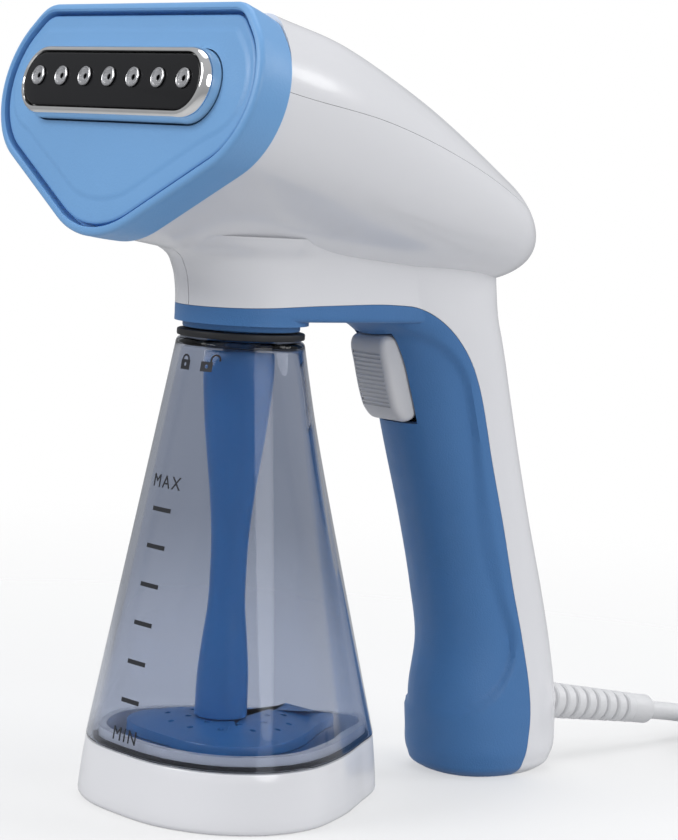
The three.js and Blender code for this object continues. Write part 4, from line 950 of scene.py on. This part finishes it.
class STEAMER_OT_steam_plate(PieceOperator, bpy.types.Operator):
    """Set the chrome surround, the black plate and its steel eyelets"""

    bl_idname = "steamer.steam_plate"
    bl_label = "Steam plate"

    def build(self, scene):
        holes = scene.steamer_sizes.steam_holes
        ring = stadium(PLATE_HALF_LENGTH + PLATE_DRAFT, PLATE_HALF_HEIGHT + PLATE_DRAFT)
        inner = inset(ring, PLATE_DRAFT + PLATE_RIM)
        proud = -PLATE_PROUD
        rows = []
        for share in (0, 0.02, 0.06, 0.12, 0.2, 0.3, 0.42, 0.55, 0.7, 0.85, 1):
            out, over = (turn(share * TURN / 4) ** PLATE_FULLNESS for turn in (math.cos, math.sin))
            rows.append((proud * out, PLATE_ROUNDING * (1 - over)))
        rows += [(FACE_MARGIN_DEPTH, 0), (FACE_THICK + 2, 0)]
        seat = [(proud - 2, -0.25), (proud + 0.02, -0.25), (proud + 0.3, 0), (proud + 2.2, 0)]
        way = [(proud - 2, 2.4), (FACE_THICK + 5, 2.4)]
        surround = cut(in_head(rows, ring), in_head(seat, inner), in_head(way, inner))
        finish("chrome_surround", surround, "chrome", "steam_plate_frame", sharp=50)

        face = proud + 0.3
        rows = [(face, 0.9), (face + 0.04, 0.6), (face + 0.2, 0.4), (face + 0.5, GAP), (face + 1.6, GAP)]
        places = [HEAD @ along_y((n - (holes - 1) / 2) * HOLE_PITCH) for n in range(holes)]
        bores = [rod(NOZZLE_TUBE + GAP, -20, BEZEL_DEPTH + 2, place, 32) for place in places]
        finish("black_steam_plate", cut(in_head(rows, inner), *bores), "plate_black", "steam_plate")
        front = face - GAP
        wide, tube, bore, mouth = NOZZLE_FLANGE, NOZZLE_TUBE, NOZZLE_BORE, NOZZLE_MOUTH
        for n, place in enumerate(places):
            profile = [(bore, front + 1.6), (mouth, front + 0.9), (mouth, front + 0.12)]
            profile += [(mouth + 0.15, front - 0.02), (wide - 0.75, front - 0.12)]
            profile += [(wide - 0.5, front - 0.42), (wide - 0.32, front - 0.5), (wide - 0.1, front - 0.4)]
            profile += [(wide, front - 0.15), (wide, front), (tube, front)]
            profile += [(tube, BEZEL_DEPTH), (bore, BEZEL_DEPTH), (bore, front + 1.6)]
            eyelet = spun(profile, 40, place)
            finish(f"eyelet_{n + 1}", eyelet, "steel", f"steam_nozzle_{n + 1}")


class STEAMER_OT_socket(PieceOperator, bpy.types.Operator):
    """Turn the collar that holds the tank, and the black seal ring under it, whose black also stands in for
    the dark shadow line in the gap between tank and collar: painted shade
    """

    bl_idname = "steamer.socket"
    bl_label = "Tank socket"

    def build(self, scene):
        bore, clear = SOCKET_BORE, SPIGOT_RADIUS + GAP
        wide, low, top = COLLAR_RADIUS, COLLAR_BOTTOM, COLLAR_TOP
        bend, slim = NECK_BOTTOM + WALL, wide - 0.6
        profile = [(bore, low + 0.4), (bore + 0.4, low), (wide - 0.5, low), (wide - 0.12, low + 0.2)]
        profile += [(wide, low + 0.6), (wide, bend), (slim, bend + 0.2), (slim, top), (wide - 5, top)]
        profile += [(wide - 5, top - 1.8), (bore, top - 1.8), (bore, low + 0.4)]
        ledge = (low + 1, low + 4.2)
        rim = bore + 0.2
        box = [(clear, ledge[0]), (rim, ledge[0]), (rim, ledge[1]), (clear, ledge[1]), (clear, ledge[0])]
        slots = []
        half = bore * math.sin(math.radians(LUG_HALF_ANGLE + 2))
        for turn in (0, 180):
            way = block(0, bore - 0.05, -half, half, ledge[0] - 1, ledge[1] + 1)
            swing = Matrix.Rotation(math.radians(turn - UNLOCK_TURN), 3, "Z")
            bmesh.ops.rotate(way, matrix=swing, verts=way.verts)
            slots.append(way)
        collar = joined(spun(profile, 96), cut(spun(box, 96), *slots))
        finish("socket_collar", collar, "grip_blue", "tank_collar")
        # the black seal ring is partly painted shade: its black stands in for the dark shadow line in the
        # gap between the tank and the collar
        low, wide, thick = TANK_SHOULDER + GAP, TANK_TOP_RADIUS + 0.1, 2.0
        top = low + thick
        profile = [(clear, low), (wide - 0.5, low), (wide - 0.12, low + 0.15), (wide, low + 0.5)]
        profile += [(wide, top - 0.5), (wide - 0.12, top - 0.15), (wide - 0.5, top)]
        profile += [(clear, top), (clear, low)]
        finish("black_ring_for_gap_shadow", spun(profile, 96), "rubber_black", "neck_seal", body="neck_seal")


def sector(radius, middle, half, z0, z1):
    """A wedge of a disc about Z."""
    arc = [math.radians(middle + half * n / 4) for n in range(-4, 5)]
    rim = [(radius * math.cos(angle), radius * math.sin(angle), z0) for angle in arc]
    return drawn_out([(0, 0, z0), *rim], (0, 0, z1 - z0))


class STEAMER_OT_tank(PieceOperator, bpy.types.Operator):
    """Blow the clear tank and print its marks"""

    bl_idname = "steamer.tank"
    bl_label = "Water tank"

    def build(self, scene):
        top, ceiling = TANK_SHOULDER, TANK_SHOULDER - TANK_WALL
        rows = [(TANK_RIM, 0.35), (TANK_RIM + 0.15, 0.1), (TANK_RIM + 0.5, 0)]
        rows += [(z, 0) for z in np.linspace(TANK_RIM, top - 1.4, 13)[1:]]
        rows += [(top - 0.9, 0.08), (top - 0.4, 0.4), (top - 0.1, 0.95), (top, 1.6)]
        skin = loft([level(tank_ring(pulled, z), z) for z, pulled in rows])
        rows = [(TANK_RIM - 1, 0), *((z, 0) for z in np.linspace(TANK_RIM, ceiling - 1, 13))]
        rows += [(ceiling - 0.4, 0.3), (ceiling, 1.1)]
        hollow = loft([level(tank_ring(TANK_WALL + pulled, z), z) for z, pulled in rows])
        ledge = COLLAR_BOTTOM + 4.2 + GAP
        reach = SPIGOT_RADIUS + LUG_REACH
        lugs = [sector(reach, turn, LUG_HALF_ANGLE, ledge, ledge + 2.2) for turn in (0, 180)]
        spigot = rod(SPIGOT_RADIUS, top - 1, SPIGOT_TOP, steps=96)
        bore = rod(SPIGOT_RADIUS - TANK_WALL, ceiling - 2, SPIGOT_TOP + 2, steps=96)
        shell = cut(joined(skin, spigot, *lugs), hollow, bore)
        finish("clear_tank", shell, "tank_clear", "tank_shell", body="tank")
        for number, z in enumerate(LEVELS):
            self.stroke(f"level_mark_{number + 1}", z)
        for word in WORDS:
            self.word(*word)
        self.padlock("mark_locked", 0.0, LOCK_HEIGHT, 0.0)
        self.padlock("mark_open", LOCK_SPACING, LOCK_HEIGHT, 0.7)

    def wrapped(self, name, bm):
        """Lays a flat mark (x across, z up, y its thickness) on the front of the tank."""
        for vert in bm.verts:
            x, lift, z = vert.co
            ring = tank_ring(0, z)
            front = ring[ring[:, 1] < 0.35 * BASE_FRONT]
            front = front[np.argsort(np.arctan2(front[:, 0], -front[:, 1]))]
            along = np.cumsum(np.r_[0, np.linalg.norm(np.diff(front, axis=0), axis=1)])
            along -= np.interp(0, front[:, 0], along)
            at, ahead = (np.array([np.interp(x + d, along, front[:, k]) for k in (0, 1)]) for d in (0, 0.5))
            step = ahead - at
            out = np.array([step[1], -step[0]]) / np.linalg.norm(step)
            vert.co = (*(at + out * lift), z)
        bmesh.ops.recalc_face_normals(bm, faces=bm.faces)
        return finish(name, bm, "black_plastic", body="tank")

    def stroke(self, name, z):
        half, thin = STROKE_HALF_LENGTH, STROKE_HALF_HEIGHT
        bm = block(-half, half, INK_BACK, INK_FRONT, z - thin, z + thin)
        long = [e for e in bm.edges if abs(e.verts[0].co.x - e.verts[1].co.x) > 1]
        bmesh.ops.subdivide_edges(bm, edges=long, cuts=7, use_grid_fill=True)
        self.wrapped(name, bm)

    def word(self, name, text, z, height):
        """A word in plain capitals, spaced out."""
        data = bpy.data.curves.new(name, "FONT")
        data.body = text
        data.size = height / 0.7
        data.align_x = "CENTER"
        data.space_character = 1.25
        data.extrude = 0.06
        holder = bpy.data.objects.new(name, data)
        mesh = bpy.data.meshes.new_from_object(holder)
        bpy.data.objects.remove(holder)
        bm = bmesh.new()
        bm.from_mesh(mesh)
        bpy.data.meshes.remove(mesh)
        bmesh.ops.remove_doubles(bm, verts=bm.verts, dist=1e-4)
        for vert in bm.verts:
            x, up, lift = vert.co
            vert.co = (x, 0.08 + lift, z + up)
        self.wrapped(name, bm)

    def padlock(self, name, shift, z, lifted):
        """A plain padlock sign: a body with a keyhole and a shackle, swung out when it is lifted."""
        body = block(shift - 1.9, shift + 1.9, INK_BACK, INK_FRONT, z - 1.9, z + 0.9)
        hole = rod(0.55, -1, 1, along_y(shift, z - 0.4), 16)
        back, front = INK_BACK, INK_FRONT
        shackle = spun([(1.05, back), (1.6, back), (1.6, front), (1.05, front), (1.05, back)], 32)
        place = Matrix.Translation((shift + (2.6 if lifted else 0), 0, z + 0.9 + lifted))
        bmesh.ops.transform(shackle, matrix=place @ Matrix.Rotation(TURN / 4, 4, "X"), verts=shackle.verts)
        bmesh.ops.translate(shackle, vec=(0, back + front, 0), verts=shackle.verts)
        shackle = cut(shackle, block(-REACH, REACH, -1, 1, -REACH, z + 0.6 + lifted))
        if lifted:
            legs = block(shift + 1.0, shift + 1.55, back, front, z + 0.7, z + 1.7)
            shackle = joined(shackle, legs)
        self.wrapped(name, cut(body, hole))
        self.wrapped(name + "_shackle", shackle)


class STEAMER_OT_base(PieceOperator, bpy.types.Operator):
    """Mould the white base of the tank"""

    bl_idname = "steamer.base"
    bl_label = "Tank base"

    def build(self, scene):
        rim = TANK_RIM - GAP
        spigot = BASE_DRAFT + TANK_WALL + 1.8
        rows = [(0, 1.6), (0.12, 1.0), (0.45, 0.5), (1.0, 0.15), (1.8, 0)]
        rows += [(1.8 + (rim - 0.6 - 1.8) * i / 6, BASE_DRAFT * (i / 6) ** 1.2) for i in range(1, 7)]
        rows += [(rim - 0.15, BASE_DRAFT + 0.2), (rim, BASE_DRAFT + 0.6)]
        outside = on_base(rows)
        collar = on_base([(rim - 1, 0), (rim + SPIGOT_RISE, 0)], spigot)
        pan = on_base([(BASE_FLOOR, 0), (rim + SPIGOT_RISE + 2, 0)], spigot + BASE_WALL)
        body = cut(joined(outside, collar), pan)
        finish("white_base", body, "white_shell", "tank_base", body="tank")


class STEAMER_OT_filter(PieceOperator, bpy.types.Operator):
    """Make the filter in the foot of the tank and the stem that stands on it"""

    bl_idname = "steamer.filter"
    bl_label = "Filter and stem"

    def build(self, scene):
        wall, split, floor = FILTER_WALL, FILTER_SPLIT, BASE_FLOOR + GAP
        outside = on_base([(floor, 0), (split, 0)], FILTER_INSET)
        inside = on_base([(floor + wall, 0), (FILTER_TOP + 5, 0)], FILTER_INSET + wall)
        slots = []
        ring = inset(BASE, FILTER_INSET)
        for n in range(0, AROUND, 10):
            x, y = ring[n]
            ahead = ring[(n + 1) % AROUND] - ring[n - 1]
            turn = math.atan2(ahead[1], ahead[0])
            slot = block(-0.55, 0.55, -1.2, 1.2, floor + 6, split - 3)
            place = Matrix.Translation((x, y, 0)) @ Matrix.Rotation(turn, 4, "Z")
            bmesh.ops.transform(slot, matrix=place, verts=slot.verts)
            slots.append(slot)
        box = cut(outside, inside, *slots)
        finish("filter_cup", box, "stem_blue", "filter_housing", body="tank")
        rows = [(split + GAP, 0), (FILTER_TOP - 0.6, 0), (FILTER_TOP - 0.15, 0.25), (FILTER_TOP, 0.8)]
        rows += [(FILTER_TOP + 0.5 * FILTER_DOME, 6), (FILTER_TOP + FILTER_DOME, 14)]
        lid = on_base(rows, FILTER_INSET)
        holes = [rod(STEM_SPIGOT + GAP, 0, FILTER_TOP + 10, steps=48)]
        for radius, count in STRAINER_RINGS:
            for i in range(count):
                angle = TURN * (i + 0.5) / count
                place = Matrix.Translation((radius * math.cos(angle), 3 + radius * math.sin(angle), 0))
                holes.append(rod(STRAINER_HOLE, 0, FILTER_TOP + 10, place, 16))
        foam = on_base(SPONGE, FILTER_INSET + wall + GAP)
        foam = cut(foam, rod(STEM_SPIGOT + GAP, 0, FILTER_TOP, steps=48))
        sponge = finish("filter_foam", foam, "sponge", "filter_sponge", body="tank")
        finish("filter_lid", cut(lid, *holes), "stem_blue", "filter_cover", body="tank")
        foot = FILTER_TOP + FILTER_DOME + GAP
        shoulder = TANK_SHOULDER - TANK_WALL - 0.6
        heights = np.linspace(foot + 1, shoulder - 1.4, 60)
        waist = smooth_rows(
            [
                (foot + 1, 7.7), (38, 7.5), (49, 6.5), (58, 5.5), (68, 5.3), (78, 5.5), (90, 6.5), (102, 8),
                (112, 9.2), (shoulder - 4, 10.2), (shoulder - 1.4, 10.1),
            ],
            heights,
        )
        profile = [(STEM_BORE, split - 7), (STEM_SPIGOT, split - 7), (STEM_SPIGOT, foot)]
        profile += [(7.2, foot), (7.6, foot + 0.3)]
        profile += [(radius[0], z) for radius, z in zip(waist, heights)]
        profile += [(9.7, shoulder - 0.4), (9.0, shoulder), (5, shoulder), (5, SPIGOT_TOP)]
        socket, bed = STEM_SOCKET + GAP, SPIGOT_TOP - STEM_SOCKET_DEPTH
        profile += [(socket, SPIGOT_TOP), (socket, bed), (STEM_BORE, bed)]
        profile += [(STEM_BORE, split - 7)]
        finish("blue_stem", spun(profile, 72), "stem_blue", "suction_stem", body="tank")


class STEAMER_OT_trigger(PieceOperator, bpy.types.Operator):
    """Shape the trigger with its ribbed finger pad"""

    bl_idname = "steamer.trigger"
    bl_label = "Trigger"

    def build(self, scene):
        ribs = scene.steamer_sizes.trigger_ribs
        body = side_view(trigger_outline(), -TRIGGER_HALF_WIDTH, TRIGGER_HALF_WIDTH)
        rims = [e for e in body.edges if e.verts[0].co.x == e.verts[1].co.x]
        bmesh.ops.bevel(
            body, geom=rims, offset=TRIGGER_EDGE, offset_type="OFFSET", affect="EDGES", segments=5,
            profile=0.5, material=-1, clamp_overlap=True,
        )
        line = curve_through(RIBBED, 12)
        grooves = []
        along = np.concatenate([[0], np.cumsum(np.linalg.norm(np.diff(line, axis=0), axis=1))])
        for n in range(ribs):
            at = RIB_MARGIN + n * (along[-1] - 2 * RIB_MARGIN) / (ribs - 1)
            y, z = np.interp(at, along, line[:, 0]), np.interp(at, along, line[:, 1])
            place = Matrix.Translation((0, y - 0.2, z)) @ Matrix.Rotation(TURN / 4, 4, "Y")
            grooves.append(rod(RIB_RADIUS, -RIB_HALF_LENGTH, RIB_HALF_LENGTH, place, 12))
        pin = rod(TRIGGER_PIN + GAP, -20, 20, along_x(*TRIGGER_PIVOT), 32)
        made = cut(body, *grooves, pin)
        finish("finger_trigger", made, "trigger_grey", "trigger", body="trigger", sharp=38)


INSIDE = {
    "steel": [
        "housing_screw_1", "housing_screw_2", "housing_screw_3", "heating_element", "thermostat",
        "trigger_pin", "trigger_spring", "pump_plunger",
    ],
    "cast_alloy": ["boiler_body", "boiler_cover"],
    "trigger_grey": ["thermal_fuse", "switch_plunger"],
    "inner_white": ["inlet_nipple", "switch_bracket", "cord_clamp"],
    "rubber_black": ["inlet_seal", "base_gasket"],
    "plate_black": ["microswitch", "pump_body"],
    "silicone": ["suction_hose", "feed_hose"],
    "board_green": ["control_board"],
}


class STEAMER_OT_inside(PieceOperator, bpy.types.Operator):
    """Give the pieces inside the body their finishes"""

    bl_idname = "steamer.inside"
    bl_label = "Working parts"

    def build(self, scene):
        for look, names in INSIDE.items():
            for name in names:
                dress(name, look)


class STEAMER_OT_stage(PieceOperator, bpy.types.Operator):
    """Set the pale floor, the soft lights and the white surroundings"""

    bl_idname = "steamer.stage"
    bl_label = "Stage"

    def build(self, scene):
        bm = bmesh.new()
        bmesh.ops.create_circle(bm, cap_ends=True, segments=96, radius=FLOOR_RADIUS)
        mesh = bpy.data.meshes.new("floor")
        bm.to_mesh(mesh)
        bm.free()
        mesh.materials.append(self.floor_finish(scene.steamer_colours.floor))
        added("floor", mesh)
        self.surroundings(scene)
        for lamp in LIGHTS:
            self.light(*lamp)
        scene.view_settings.view_transform = "Standard"

    def floor_finish(self, tint):
        """A pale floor that thins out towards its rim, so that it runs into the white behind."""
        made, tree, shader, place = new_material("pale_floor")
        drift = noise(tree, place, 3.0)
        tree.links.new(ramp(tree, drift, Vector(tint) * 0.99, tint), shader.inputs["Base Color"])
        shader.inputs["Roughness"].default_value = 0.6
        away = tree.nodes.new("ShaderNodeVectorMath")
        away.operation = "LENGTH"
        tree.links.new(place, away.inputs[0])
        fade = spread(tree, away.outputs["Value"], FLOOR_FADE, "SMOOTHSTEP")
        tree.links.new(fade, shader.inputs["Alpha"])
        return made

    def surroundings(self, scene):
        """White behind the steamer, softer light from all round it, stronger from above."""
        world = bpy.data.worlds.new("studio")
        scene.world = world
        world.use_nodes = True
        tree = world.node_tree
        place = tree.nodes.new("ShaderNodeTexCoord")
        split = tree.nodes.new("ShaderNodeSeparateXYZ")
        tree.links.new(place.outputs["Generated"], split.inputs["Vector"])
        soft = tree.nodes["Background"]
        soft.inputs["Color"].default_value = (0.94, 0.96, 1.0, 1)
        tree.links.new(spread(tree, split.outputs["Z"], SKY_RISE), soft.inputs["Strength"])
        bright = tree.nodes.new("ShaderNodeBackground")
        bright.inputs["Color"].default_value = (1, 1, 1, 1)
        bright.inputs["Strength"].default_value = 1.0
        kind = tree.nodes.new("ShaderNodeLightPath")
        mix = tree.nodes.new("ShaderNodeMixShader")
        tree.links.new(kind.outputs["Is Camera Ray"], mix.inputs["Fac"])
        tree.links.new(soft.outputs["Background"], mix.inputs[1])
        tree.links.new(bright.outputs["Background"], mix.inputs[2])
        tree.links.new(mix.outputs["Shader"], tree.nodes["World Output"].inputs["Surface"])

    def light(self, name, place, size, power):
        data = bpy.data.lights.new(name, "AREA")
        data.shape = "DISK"
        data.size = size
        data.energy = power
        lamp = added(name, data)
        lamp.location = place
        aim = Vector((0, 0.04, 0.12)) - Vector(place)
        lamp.rotation_euler = aim.to_track_quat("-Z", "Y").to_euler()


class STEAMER_PT_pieces(bpy.types.Panel):
    """The steamer's pieces in the sidebar"""

    bl_idname = "STEAMER_PT_pieces"
    bl_label = "Garment steamer"
    bl_space_type = "VIEW_3D"
    bl_region_type = "UI"
    bl_category = "Steamer"

    def draw(self, context):
        for group in (context.scene.steamer_sizes, context.scene.steamer_colours):
            for name in group.__annotations__:
                self.layout.prop(group, name)
        for operator in OPERATORS:
            self.layout.operator(operator.bl_idname)


OPERATORS = (
    STEAMER_OT_camera,
    STEAMER_OT_power_cord,
    STEAMER_OT_body,
    STEAMER_OT_face,
    STEAMER_OT_steam_plate,
    STEAMER_OT_socket,
    STEAMER_OT_tank,
    STEAMER_OT_base,
    STEAMER_OT_filter,
    STEAMER_OT_trigger,
    STEAMER_OT_inside,
    STEAMER_OT_stage,
)
CLASSES = (SteamerSizes, SteamerColours, *OPERATORS, STEAMER_PT_pieces)


def register():
    for cls in CLASSES:
        bpy.utils.register_class(cls)
    bpy.types.Scene.steamer_sizes = PointerProperty(type=SteamerSizes)
    bpy.types.Scene.steamer_colours = PointerProperty(type=SteamerColours)


def unregister():
    del bpy.types.Scene.steamer_colours
    del bpy.types.Scene.steamer_sizes
    for cls in reversed(CLASSES):
        bpy.utils.unregister_class(cls)


def main():
    register()
    make_finishes(bpy.context.scene.steamer_colours)
    for operator in OPERATORS:
        group, name = operator.bl_idname.split(".")
        getattr(getattr(bpy.ops, group), name)()


if __name__ == "__main__":
    main()
